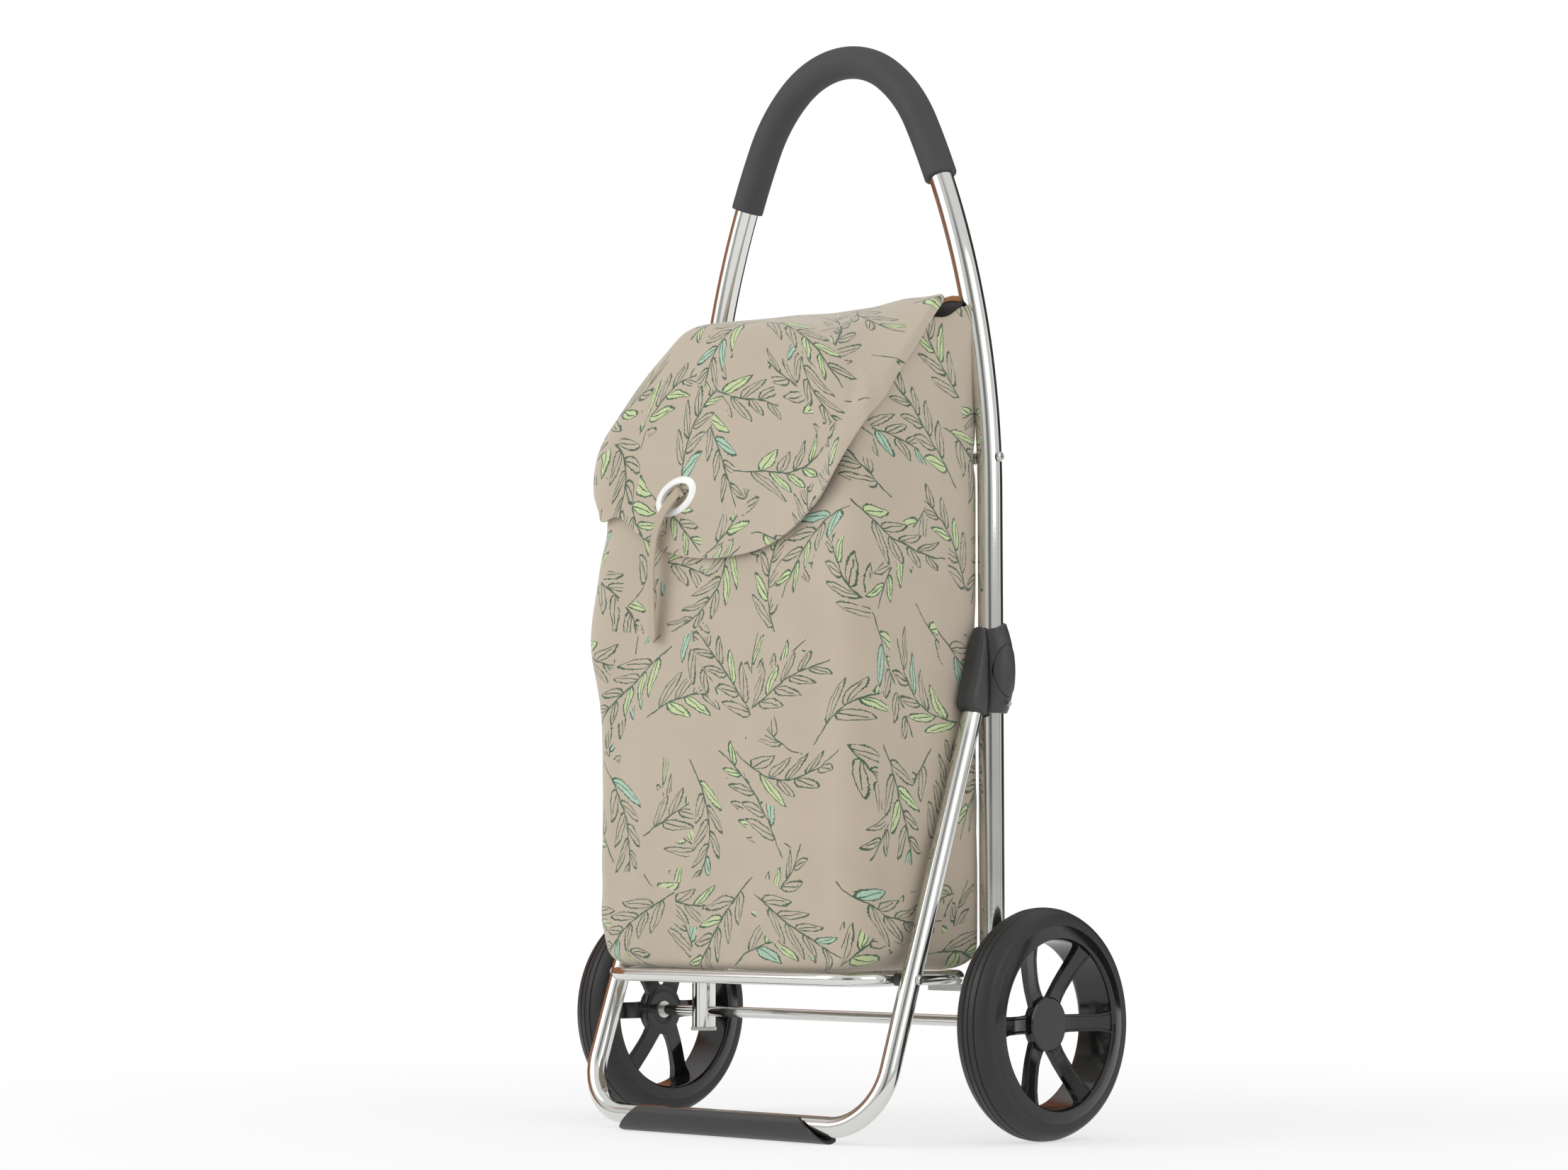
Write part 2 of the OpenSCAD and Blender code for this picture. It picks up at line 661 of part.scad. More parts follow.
module rim_solid() {
    difference() {
        union() {
            rotate_extrude($fn = round_fn) {
                polygon([[rim_barrel_r, -rim_lip_x + 3], [rim_open_r, -rim_lip_x], [rim_r - 1, -rim_seat_x],
                    [rim_r - 1, -rim_seat_x + 1.2], [rim_floor_r, -rim_seat_x + 3],
                    [rim_floor_r, rim_seat_x - 3], [rim_r - 1, rim_seat_x - 1.2],
                    [rim_r - 1, rim_seat_x], [rim_open_r, rim_lip_x], [rim_barrel_r, rim_lip_x - 3]]);
            }
            translate([0, 0, -hub_in]) cylinder(h = hub_in + hub_out, r = hub_d / 2);
            for (i = [0:spoke_count - 1]) rotate([0, 0, 90 + i * 360 / spoke_count]) spoke();
        }
        translate([0, 0, -hub_in - 1]) cylinder(h = hub_in + hub_out + 2, r = bush_r);
    }
}

module rim_left() {
    color("black") wheel_at(-1) rim_solid();
}

module rim_right() {
    color("black") wheel_at(1) rim_solid();
}

module bush_solid() {
    translate([0, 0, -hub_in]) difference() {
        cylinder(h = hub_in + hub_out, r = bush_r);
        translate([0, 0, -1]) cylinder(h = hub_in + hub_out + 2, r = axle_r + run_play);
    }
}

module bush_left() {
    color("white") wheel_at(-1) bush_solid();
}

module bush_right() {
    color("white") wheel_at(1) bush_solid();
}

module hub_cap_solid() {
    translate([0, 0, hub_out]) difference() {
        cylinder(h = hub_face - hub_out, r = hub_d / 2);
        translate([0, 0, -1]) cylinder(h = hub_face - hub_out - cap_t + 1, r = hub_d / 2 - cap_wall);
    }
}

module hub_cap_left() {
    color("black") wheel_at(-1) hub_cap_solid();
}

module hub_cap_right() {
    color("black") wheel_at(1) hub_cap_solid();
}

// bag: the shell's outline, drawn in by inset on every side
module bag_plan(inset) {
    r = bag_corner_r - inset;
    half = bag_side - inset;
    depth = bag_depth - 2 * inset;
    translate([-half + r, -bag_front + inset]) square([2 * (half - r), depth]);
    translate([-half, -bag_front + inset + r]) square([2 * half, depth - 2 * r]);
    for (x = [-half + r, half - r], y = [-bag_front + inset + r, -bag_rear - inset - r])
        translate([x, y]) circle(r = r);
}

module bag_front_view(inset) {
    r = bag_floor_r - inset;
    half = bag_side - inset;
    translate([-half + r, bag_low_z + inset]) square([2 * (half - r), 2 * r]);
    translate([-half, bag_low_z + inset + r]) square([2 * half, bag_top_z]);
    for (x = [-half + r, half - r]) translate([x, bag_low_z + inset + r]) circle(r = r);
}

module bag_volume(inset) {
    intersection() {
        translate([0, 0, bag_low_z + inset]) linear_extrude(bag_top_z) bag_plan(inset);
        rotate([90, 0, 0]) linear_extrude(2 * bag_front) bag_front_view(inset);
    }
}

// what lies under the mouth's edge, which falls from the back to the front
module below_mouth() {
    rotate([90, 0, 90]) translate([0, 0, -upright_gap / 2]) linear_extrude(upright_gap)
        polygon([[-2 * bag_front, 0], [0, 0], [0, bag_top_z], [-flap_hinge_y + 2, bag_top_z],
            [-flap_hinge_y, bag_top_z - 7],
            [-2 * bag_front, bag_top_z - 7 - lip_slope * (2 * bag_front - flap_hinge_y)]]);
}

module bag_body() {
    color("tan") at_axle_plane() intersection() {
        difference() {
            bag_volume(0);
            bag_volume(cloth_t);
        }
        below_mouth();
    }
}

module bag_board() {
    color("tan") at_axle_plane()
        translate([-bag_side + bag_floor_r, -bag_front + board_gap, bag_low_z + cloth_t + play])
            cube([bag_w - 2 * bag_floor_r, bag_depth - 2 * board_gap, board_t]);
}

// webbing loops that hang the bag's back on the cross bar
module bag_loops() {
    r = cross_bar_d / 2 + 0.2;
    color("tan") at_axle_plane() both_sides() translate([loop_x - loop_w / 2, 0, cross_bar_z])
        difference() {
            union() {
                along_x(0, loop_w, r + loop_t);
                translate([0, -bag_rear + 0.3, -loop_drop]) cube([loop_w, loop_t, loop_drop]);
            }
            along_x(-1, loop_w + 1, r);
        }
}

// flap: a blended cover, cut to a rounded apron in front
module flap_volume(inset) {
    hull() {
        translate([0, -flap_hinge_y - flap_roll, bag_top_z])
            along_x(-flap_out + inset, flap_out - inset, flap_roll - inset, $fn = hull_fn);
        translate([0, -flap_front + 36, bag_top_z - 51])
            along_x(-50, 50, 36 - inset, $fn = hull_fn);
        for (side = [-1, 1]) {
            translate([side * 82, -flap_front + 50, bag_top_z - 96])
                sphere(r = 50 - inset, $fn = hull_fn);
            translate([side * (flap_out - 28), -flap_front + 28, flap_tip_z - 30])
                cylinder(h = flap_side_z + 20 - flap_tip_z + 30, r = 28 - inset, $fn = hull_fn);
        }
    }
}

// front view of the apron
module flap_apron() {
    rotate([90, 0, 0]) linear_extrude(2 * bag_front) {
        translate([0, flap_tip_z + flap_arc_r]) circle(r = flap_arc_r, $fn = round_fn);
        translate([-upright_x, flap_tip_z + flap_arc_r]) square([upright_gap, bag_top_z]);
        translate([-upright_x, flap_side_z]) square([upright_gap, bag_top_z]);
    }
}

module bag_flap() {
    color("tan") at_axle_plane() difference() {
        intersection() {
            difference() {
                flap_volume(0);
                flap_volume(flap_t);
            }
            flap_apron();
            flap_cut();
        }
        translate([eyelet_x, 0, eyelet_z]) rotate([90, 0, 0]) rotate(eyelet_turn)
            linear_extrude(2 * bag_front)
                oval(eyelet_hole_l + 2 * (eyelet_wall + snug), eyelet_hole_w + 2 * (eyelet_wall + snug));
    }
}

// keeps what lies above the sides' falling edge, and all of the front apron
module flap_cut() {
    fall_y = flap_front - 30;
    rotate([90, 0, 90]) translate([0, 0, -upright_gap / 2]) linear_extrude(upright_gap)
        polygon([[-flap_hinge_y, bag_top_z - 2], [-fall_y, flap_side_z + 24], [-fall_y, 0],
            [-2 * bag_front, 0], [-2 * bag_front, 2 * bag_top_z], [-flap_hinge_y, 2 * bag_top_z]]);
}

module oval(l, w) {
    for (side = [-1, 1]) translate([side * (l - w) / 2, 0]) circle(d = w);
    square([l - w, w], center = true);
}

module oval_ring(l, w, from, to) {
    translate([0, 0, from]) linear_extrude(to - from) difference() {
        oval(l, w);
        oval(eyelet_hole_l, eyelet_hole_w);
    }
}

module eyelet() {
    groove = flap_t + 0.1;
    back = -groove / 2 - 1;
    face = groove / 2 + 1.2;
    color("white") at_axle_plane() translate([eyelet_x, -flap_front + flap_t / 2, eyelet_z])
        rotate([90, 0, 0]) rotate(eyelet_turn) {
            oval_ring(eyelet_hole_l + 2 * eyelet_wall, eyelet_hole_w + 2 * eyelet_wall, back, face);
            oval_ring(eyelet_l, eyelet_w, groove / 2, face);
            oval_ring(eyelet_l, eyelet_w, back, -groove / 2);
        }
}

// flat strap: one polyhedron, eight points round each stop of the route
function unit(v) = v / norm(v);
function heading(p, i) = unit(p[min(i + 1, len(p) - 1)] - p[max(i - 1, 0)]);
function side_of(t) = unit(cross(t, [0.4, 1, 0]));
strap_section = [for (i = [0:7]) let (a = 22.5 + i * 45)
    [strap_w / 2 * cos(a) / cos(22.5), strap_t / 2 * sin(a) / cos(22.5)]];

module closing_strap() {
    n = len(strap_route);
    points = [for (i = [0:n - 1]) let (t = heading(strap_route, i), s = side_of(t), u = cross(s, t))
        for (q = strap_section) strap_route[i] + q[0] * s + q[1] * u];
    sides = [for (i = [0:n - 2], k = [0:7]) let (m = (k + 1) % 8)
        [i * 8 + k, i * 8 + m, (i + 1) * 8 + m, (i + 1) * 8 + k]];
    ends = [[for (k = [7:-1:0]) k], [for (k = [0:7]) (n - 1) * 8 + k]];
    color("tan") at_axle_plane() polyhedron(points = points, faces = concat(sides, ends), convexity = 4);
}

handle_hoop();
handle_grip();
tube_plugs();
cross_bar();
cross_bar_screws();
clip_left();
clip_right();
clip_rivets();
hinge_pins();
button_left();
button_right();
button_springs();
ring_rests();
axle();
axle_washers();
axle_clips();
leg_frame();
leg_ends();
foot_sleeve();
ring_spacers();
ring_screws();
loading_ring();
tyre_left();
tyre_right();
rim_left();
rim_right();
bush_left();
bush_right();
hub_cap_left();
hub_cap_right();
bag_body();
bag_board();
bag_loops();
bag_flap();
eyelet();
closing_strap();
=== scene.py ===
# Folding shopping trolley: tube hoop on two wheels, hinged front leg, printed cloth bag.
# Lengths in the piece dictionaries are millimetres, y counted from the axle.
import math
import bmesh
import bpy
from mathutils import Matrix, Vector, noise


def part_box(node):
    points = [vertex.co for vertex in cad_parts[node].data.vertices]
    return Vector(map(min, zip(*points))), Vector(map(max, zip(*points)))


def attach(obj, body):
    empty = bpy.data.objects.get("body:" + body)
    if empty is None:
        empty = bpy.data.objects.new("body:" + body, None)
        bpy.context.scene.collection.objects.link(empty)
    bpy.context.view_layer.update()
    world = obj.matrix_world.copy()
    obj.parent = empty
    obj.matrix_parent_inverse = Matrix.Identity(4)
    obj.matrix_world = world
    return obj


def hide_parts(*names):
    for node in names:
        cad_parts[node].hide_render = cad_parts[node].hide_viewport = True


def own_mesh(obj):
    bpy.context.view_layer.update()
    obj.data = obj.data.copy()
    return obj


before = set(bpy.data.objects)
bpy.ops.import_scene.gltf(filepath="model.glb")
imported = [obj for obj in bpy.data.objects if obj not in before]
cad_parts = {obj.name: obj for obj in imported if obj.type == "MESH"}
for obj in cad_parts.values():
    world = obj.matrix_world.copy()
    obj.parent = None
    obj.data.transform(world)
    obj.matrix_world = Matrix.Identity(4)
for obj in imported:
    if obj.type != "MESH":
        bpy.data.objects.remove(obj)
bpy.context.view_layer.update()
scene = bpy.context.scene
scene.view_settings.view_transform = "Standard"
axleLow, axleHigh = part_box("axle")
axleY = (axleLow.y + axleHigh.y) / 2


def place(x, y, z):
    return Vector((x / 1000, y / 1000 + axleY, z / 1000))


def spot(point):
    return place(*point)


# camera and strap first
cameraFit = {"at": (2.15653, -2.29668, 0.23164), "tilt": 1.652718, "turn": 0.763537, "lens": 79.85}
cameraData = bpy.data.cameras.new("studioCamera")
cameraData.lens = cameraFit["lens"]
cameraData.sensor_width = 36
cameraData.sensor_fit = "HORIZONTAL"
cameraData.clip_end = 50
camera = bpy.data.objects.new("studioCamera", cameraData)
camera.location = cameraFit["at"]
camera.rotation_euler = (cameraFit["tilt"], 0, cameraFit["turn"])
scene.collection.objects.link(camera)
scene.camera = camera

strap = {
    "route": [(-49.5, -157.6, 569.7), (-50.5, -158.9, 569.2), (-52.5, -160.6, 568), (-55.5, -163, 564),
              (-60, -165, 558), (-65, -166.5, 550.5), (-69.5, -167.5, 541), (-73, -168.5, 529),
              (-75, -169, 516), (-75.8, -169.5, 503), (-76, -170, 490), (-75.5, -170, 476),
              (-74.6, -170, 462), (-74, -170, 449), (-73.5, -170, 437)],
    "width": 13, "tape": 2.6, "groove": 0.8, "facing": 0.4,
}


# mesh helpers
def addPiece(name, mesh, body, finish, replaced=()):
    piece = bpy.data.objects.new(name, mesh)
    scene.collection.objects.link(piece)
    piece.data.materials.append(finish)
    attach(piece, body)
    if replaced:
        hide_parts(*replaced)
    return piece


def softenShading(mesh, degrees):
    mesh.shade_smooth()
    mesh.set_sharp_from_angle(angle=math.radians(degrees))


def faceOut(mesh):
    shape = bmesh.new()
    shape.from_mesh(mesh)
    bmesh.ops.recalc_face_normals(shape, faces=shape.faces)
    shape.to_mesh(mesh)
    shape.free()


# a net of points, row by row; uvs has one more column than the points where the rows are closed
def netMesh(name, rows, uvs=None, closed=False, capStart=False, capEnd=False, loop=False):
    wide = len(rows[0])
    points = [p for row in rows for p in row]
    faces, corners = [], []
    last = len(rows) if loop else len(rows) - 1
    for i in range(last):
        k = (i + 1) % len(rows)
        for j in range(wide if closed else wide - 1):
            m = (j + 1) % wide
            faces.append((i * wide + j, i * wide + m, k * wide + m, k * wide + j))
            corners.append(((i, j), (i, j + 1), (i + 1, j + 1), (i + 1, j)))
    if capStart:
        faces.append(tuple(range(wide - 1, -1, -1)))
        corners.append([(0, j) for j in range(wide - 1, -1, -1)])
    if capEnd:
        base = (len(rows) - 1) * wide
        faces.append(tuple(range(base, base + wide)))
        corners.append([(len(rows) - 1, j) for j in range(wide)])
    mesh = bpy.data.meshes.new(name)
    mesh.from_pydata([tuple(p) for p in points], [], faces)
    if uvs:
        layer = mesh.uv_layers.new(name="UVMap")
        at = 0
        for quad in corners:
            for i, j in quad:
                layer.data[at].uv = uvs[i][j]
                at += 1
    mesh.update()
    return mesh


def headings(line, closed=False):
    n = len(line)
    found = []
    for i in range(n):
        if closed:
            step = line[(i + 1) % n] - line[i - 1]
        else:
            step = line[min(i + 1, n - 1)] - line[max(i - 1, 0)]
        found.append(step.normalized())
    return found


# turns one start direction along the line without twist
def sideFrames(ways, first=None):
    side = first or (Vector((0, 1, 0)) if abs(ways[0].y) < 0.9 else Vector((1, 0, 0)))
    frames = []
    for way in ways:
        side = (side - way * side.dot(way)).normalized()
        frames.append((side, way.cross(side)))
    return frames


# tube along a line; edge rounds its two ends, bore leaves them open as a thick wall
def tubeMesh(name, line, radius, sides=40, closed=False, edge=0.0, bore=0.0):
    ways = headings(line, closed)
    frames = sideFrames(ways)
    rings = [(p, frames[i], radius) for i, p in enumerate(line)]
    if not closed:
        steps = [0, 30, 60, 90]
        start = [(line[0] + ways[0] * edge * (1 - math.sin(math.radians(a))), frames[0],
                  radius - edge * (1 - math.cos(math.radians(a)))) for a in reversed(steps)]
        end = [(line[-1] - ways[-1] * edge * (1 - math.sin(math.radians(a))), frames[-1],
                radius - edge * (1 - math.cos(math.radians(a)))) for a in steps]
        inner = bore if bore else radius * 0.02
        start.insert(0, (line[0], frames[0], inner))
        end.append((line[-1], frames[-1], inner))
        if bore:
            start.insert(0, (line[0] + ways[0] * 0.012, frames[0], inner))
            end.append((line[-1] - ways[-1] * 0.012, frames[-1], inner))
        rings = start + rings[1:-1] + end
    rows, uvs, run = [], [], 0.0
    for i, (p, (a, b), r) in enumerate(rings):
        if i:
            run += (p - rings[i - 1][0]).length + abs(r - rings[i - 1][2])
        turns = [2 * math.pi * k / sides for k in range(sides + 1)]
        rows.append([p + a * r * math.cos(t) + b * r * math.sin(t) for t in turns[:-1]])
        uvs.append([(t * radius, run) for t in turns])
    if closed:
        uvs.append([(t * radius, run + (line[0] - line[-1]).length) for t in turns])
    solid = not closed and not bore
    mesh = netMesh(name, rows, uvs, closed=True, capStart=solid, capEnd=solid, loop=closed)
    faceOut(mesh)
    softenShading(mesh, 50)
    return mesh


def arcLine(cx, cz, r, start, end, steps):
    spans = [math.radians(start + (end - start) * i / steps) for i in range(steps + 1)]
    return [(cx + r * math.cos(a), cz + r * math.sin(a)) for a in spans]


# rounds the corners of a flat outline
def rounded(outline, radius, steps=3, closed=True):
    result = []
    n = len(outline)
    for i, point in enumerate(outline):
        if not closed and i in (0, n - 1):
            result.append(point)
            continue
        here = Vector(point)
        before, after = Vector(outline[i - 1]) - here, Vector(outline[(i + 1) % n]) - here
        cut = min(radius, before.length * 0.45, after.length * 0.45)
        a, c = here + before.normalized() * cut, here + after.normalized() * cut
        for k in range(steps + 1):
            t = k / steps
            result.append(tuple((1 - t) ** 2 * a + 2 * t * (1 - t) * here + t * t * c))
    return result


# outline of (along the axle, radius) turned about the axle line of one wheel
def turnedMesh(name, outline, side, middle, count=160, sharp=40):
    rows, uvs = [], []
    run = 0.0
    for i, (along, radius) in enumerate(outline + outline[:1]):
        if i:
            run += math.hypot(along - outline[i - 1][0], radius - outline[i - 1][1])
        row = []
        for k in range(count + 1):
            a = 2 * math.pi * k / count
            row.append(place(side * (middle + along), radius * math.cos(a), 100 + radius * math.sin(a)))
        uvs.append([(k / count * 0.628, run / 1000) for k in range(count + 1)])
        rows.append(row[:-1])
    mesh = netMesh(name, rows[:-1], uvs, closed=True, loop=True)
    faceOut(mesh)
    softenShading(mesh, sharp)
    return mesh


def joinMeshes(name, meshes):
    shape = bmesh.new()
    for part in meshes:
        shape.from_mesh(part)
    joined = bpy.data.meshes.new(name)
    shape.to_mesh(joined)
    shape.free()
    return joined


def boxMesh(name, low, high, turn=None):
    shape = bmesh.new()
    bmesh.ops.create_cube(shape, size=1)
    middle = [(low[k] + high[k]) / 2 for k in range(3)]
    for v in shape.verts:
        v.co = Vector([middle[k] + v.co[k] * (high[k] - low[k]) for k in range(3)])
        if turn:
            v.co = turn @ v.co
    mesh = bpy.data.meshes.new(name)
    shape.to_mesh(mesh)
    shape.free()
    return mesh


# cuts one closed mesh out of another
def carve(mesh, cutter):
    target = bpy.data.objects.new("carved", mesh)
    tool = bpy.data.objects.new("tool", cutter)
    scene.collection.objects.link(target)
    scene.collection.objects.link(tool)
    cut = target.modifiers.new("cut", "BOOLEAN")
    cut.object = tool
    cut.operation = "DIFFERENCE"
    cut.solver = "EXACT"
    bpy.context.view_layer.update()
    done = bpy.data.meshes.new_from_object(target.evaluated_get(bpy.context.evaluated_depsgraph_get()))
    bpy.data.objects.remove(target)
    bpy.data.objects.remove(tool)
    return done


def bevelEdges(piece, width, segments=2, degrees=40):
    bevel = piece.modifiers.new("softEdges", "BEVEL")
    bevel.width = width / 1000
    bevel.segments = segments
    bevel.limit_method = "ANGLE"
    bevel.angle_limit = math.radians(degrees)
    bevel.harden_normals = False


# material helpers
def tint(red, green, blue):
    def straight(v):
        v = v / 255
        return v / 12.92 if v <= 0.04045 else ((v + 0.055) / 1.055) ** 2.4
    return (straight(red), straight(green), straight(blue), 1)


# a socket takes a link from another node, or a plain value
def feed(tree, value, socket):
    if isinstance(value, bpy.types.NodeSocket):
        tree.links.new(value, socket)
    else:
        socket.default_value = value


def addNode(tree, kind, inputs=None, **settings):
    made = tree.nodes.new(kind)
    for key, value in settings.items():
        setattr(made, key, value)
    for key, value in (inputs or {}).items():
        feed(tree, value, made.inputs[key])
    return made


def sums(tree, operation, *values):
    made = tree.nodes.new("ShaderNodeMath")
    made.operation = operation
    for i, value in enumerate(values):
        feed(tree, value, made.inputs[i])
    return made.outputs[0]


def vectorSums(tree, operation, *values):
    made = tree.nodes.new("ShaderNodeVectorMath")
    made.operation = operation
    for i, value in enumerate(values):
        feed(tree, value, made.inputs[3 if operation == "SCALE" and i == 1 else i])
    return made.outputs["Value" if operation == "LENGTH" else "Vector"]


def mixColours(tree, share, first, second, kind="MIX"):
    made = addNode(tree, "ShaderNodeMix", data_type="RGBA", blend_type=kind)
    for index, value in ((0, share), (6, first), (7, second)):
        feed(tree, value, made.inputs[index])
    return made.outputs[2]


def spread(tree, value, low, high, toLow=0.0, toHigh=1.0):
    made = addNode(tree, "ShaderNodeMapRange", {"Value": value, "From Min": low, "From Max": high,
                                               "To Min": toLow, "To Max": toHigh})
    return made.outputs["Result"]


def newFinish(name):
    finish = bpy.data.materials.new(name)
    finish.use_nodes = True
    return finish, finish.node_tree, finish.node_tree.nodes["Principled BSDF"]


def noiseOf(tree, where, scale, detail=3.0, roughness=0.55):
    return addNode(tree, "ShaderNodeTexNoise", {"Vector": where, "Scale": scale, "Detail": detail,
                                               "Roughness": roughness}).outputs["Fac"]


def objectSpace(tree):
    return addNode(tree, "ShaderNodeTexCoord").outputs["Object"]


def bumpOf(tree, shader, height, distance, strength=1.0):
    bump = addNode(tree, "ShaderNodeBump", {"Height": height, "Distance": distance, "Strength": strength})
    tree.links.new(bump.outputs["Normal"], shader.inputs["Normal"])


# bright plating: faint haze and fine noise grain, never one flat mirror
def platedMetal(name, colour, smooth, hazy):
    finish, tree, shader = newFinish(name)
    where = objectSpace(tree)
    haze = noiseOf(tree, where, 9, 4)
    grime = noiseOf(tree, where, 160, 3)
    shade = mixColours(tree, sums(tree, "MULTIPLY", haze, 0.35), colour, tuple(c * 0.86 for c in colour[:3]) + (1,))
    tree.links.new(shade, shader.inputs["Base Color"])
    rough = sums(tree, "ADD", spread(tree, haze, 0.3, 0.7, smooth, hazy), sums(tree, "MULTIPLY", grime, 0.03))
    tree.links.new(rough, shader.inputs["Roughness"])
    shader.inputs["Metallic"].default_value = 1
    bumpOf(tree, shader, noiseOf(tree, where, 420, 2), 0.00002, 0.5)
    return finish


def mouldedPlastic(name, colour, rough, grain, grainDepth, specular=0.5):
    finish, tree, shader = newFinish(name)
    where = objectSpace(tree)
    cloud = noiseOf(tree, where, 26, 3)
    dust = spread(tree, noiseOf(tree, where, 340, 4, 0.7), 0.52, 0.75)
    pale = tuple(min(1, c * 1.3 + 0.004) for c in colour[:3]) + (1,)
    shade = mixColours(tree, sums(tree, "MULTIPLY", cloud, 0.5), colour, pale)
    shade = mixColours(tree, sums(tree, "MULTIPLY", dust, 0.05), shade, (0.35, 0.34, 0.32, 1))
    tree.links.new(shade, shader.inputs["Base Color"])
    tree.links.new(spread(tree, cloud, 0.2, 0.8, rough * 0.85, rough * 1.2), shader.inputs["Roughness"])
    shader.inputs["Specular IOR Level"].default_value = specular
    bumpOf(tree, shader, noiseOf(tree, where, grain, 2), grainDepth, 0.6)
    return finish


def foamFinish(name):
    finish, tree, shader = newFinish(name)
    where = objectSpace(tree)
    pores = addNode(tree, "ShaderNodeTexVoronoi", {"Vector": where, "Scale": 1150.0}).outputs["Distance"]
    cloud = noiseOf(tree, where, 30, 4)
    shade = mixColours(tree, cloud, tint(60, 60, 61), tint(76, 76, 77))
    # painted shade: the pits of the pores are darkened with dark grey
    shade = mixColours(tree, spread(tree, pores, 0.0, 0.45, 0.35, 0.0), shade, tint(38, 38, 39))
    tree.links.new(shade, shader.inputs["Base Color"])
    tree.links.new(spread(tree, cloud, 0.3, 0.7, 0.62, 0.74), shader.inputs["Roughness"])
    shader.inputs["Specular IOR Level"].default_value = 0.35
    height = sums(tree, "ADD", pores, sums(tree, "MULTIPLY", noiseOf(tree, where, 260, 3), 0.8))
    bumpOf(tree, shader, height, 0.00012, 0.7)
    return finish


def tyreFinish(name):
    finish, tree, shader = newFinish(name)
    where = objectSpace(tree)
    cloud = noiseOf(tree, where, 18, 5, 0.6)
    scuffs = spread(tree, noiseOf(tree, where, 210, 5, 0.7), 0.55, 0.8)
    shade = mixColours(tree, cloud, tint(28, 28, 29), tint(37, 37, 37))
    shade = mixColours(tree, sums(tree, "MULTIPLY", scuffs, 0.12), shade, tint(80, 78, 75))
    tree.links.new(shade, shader.inputs["Base Color"])
    tree.links.new(spread(tree, cloud, 0.3, 0.7, 0.42, 0.58), shader.inputs["Roughness"])
    bumpOf(tree, shader, noiseOf(tree, where, 620, 3), 0.00008, 0.6)
    return finish


printStyle = {
    "ground": tint(192, 178, 159), "line": tint(47, 84, 58), "leafA": tint(200, 214, 160),
    "leafB": tint(170, 204, 184), "stemHalf": 0.055, "leafLong": 0.036, "leafHalf": 0.0056,
    "pitch": 0.0225, "splay": 42, "stroke": 0.0014,
}


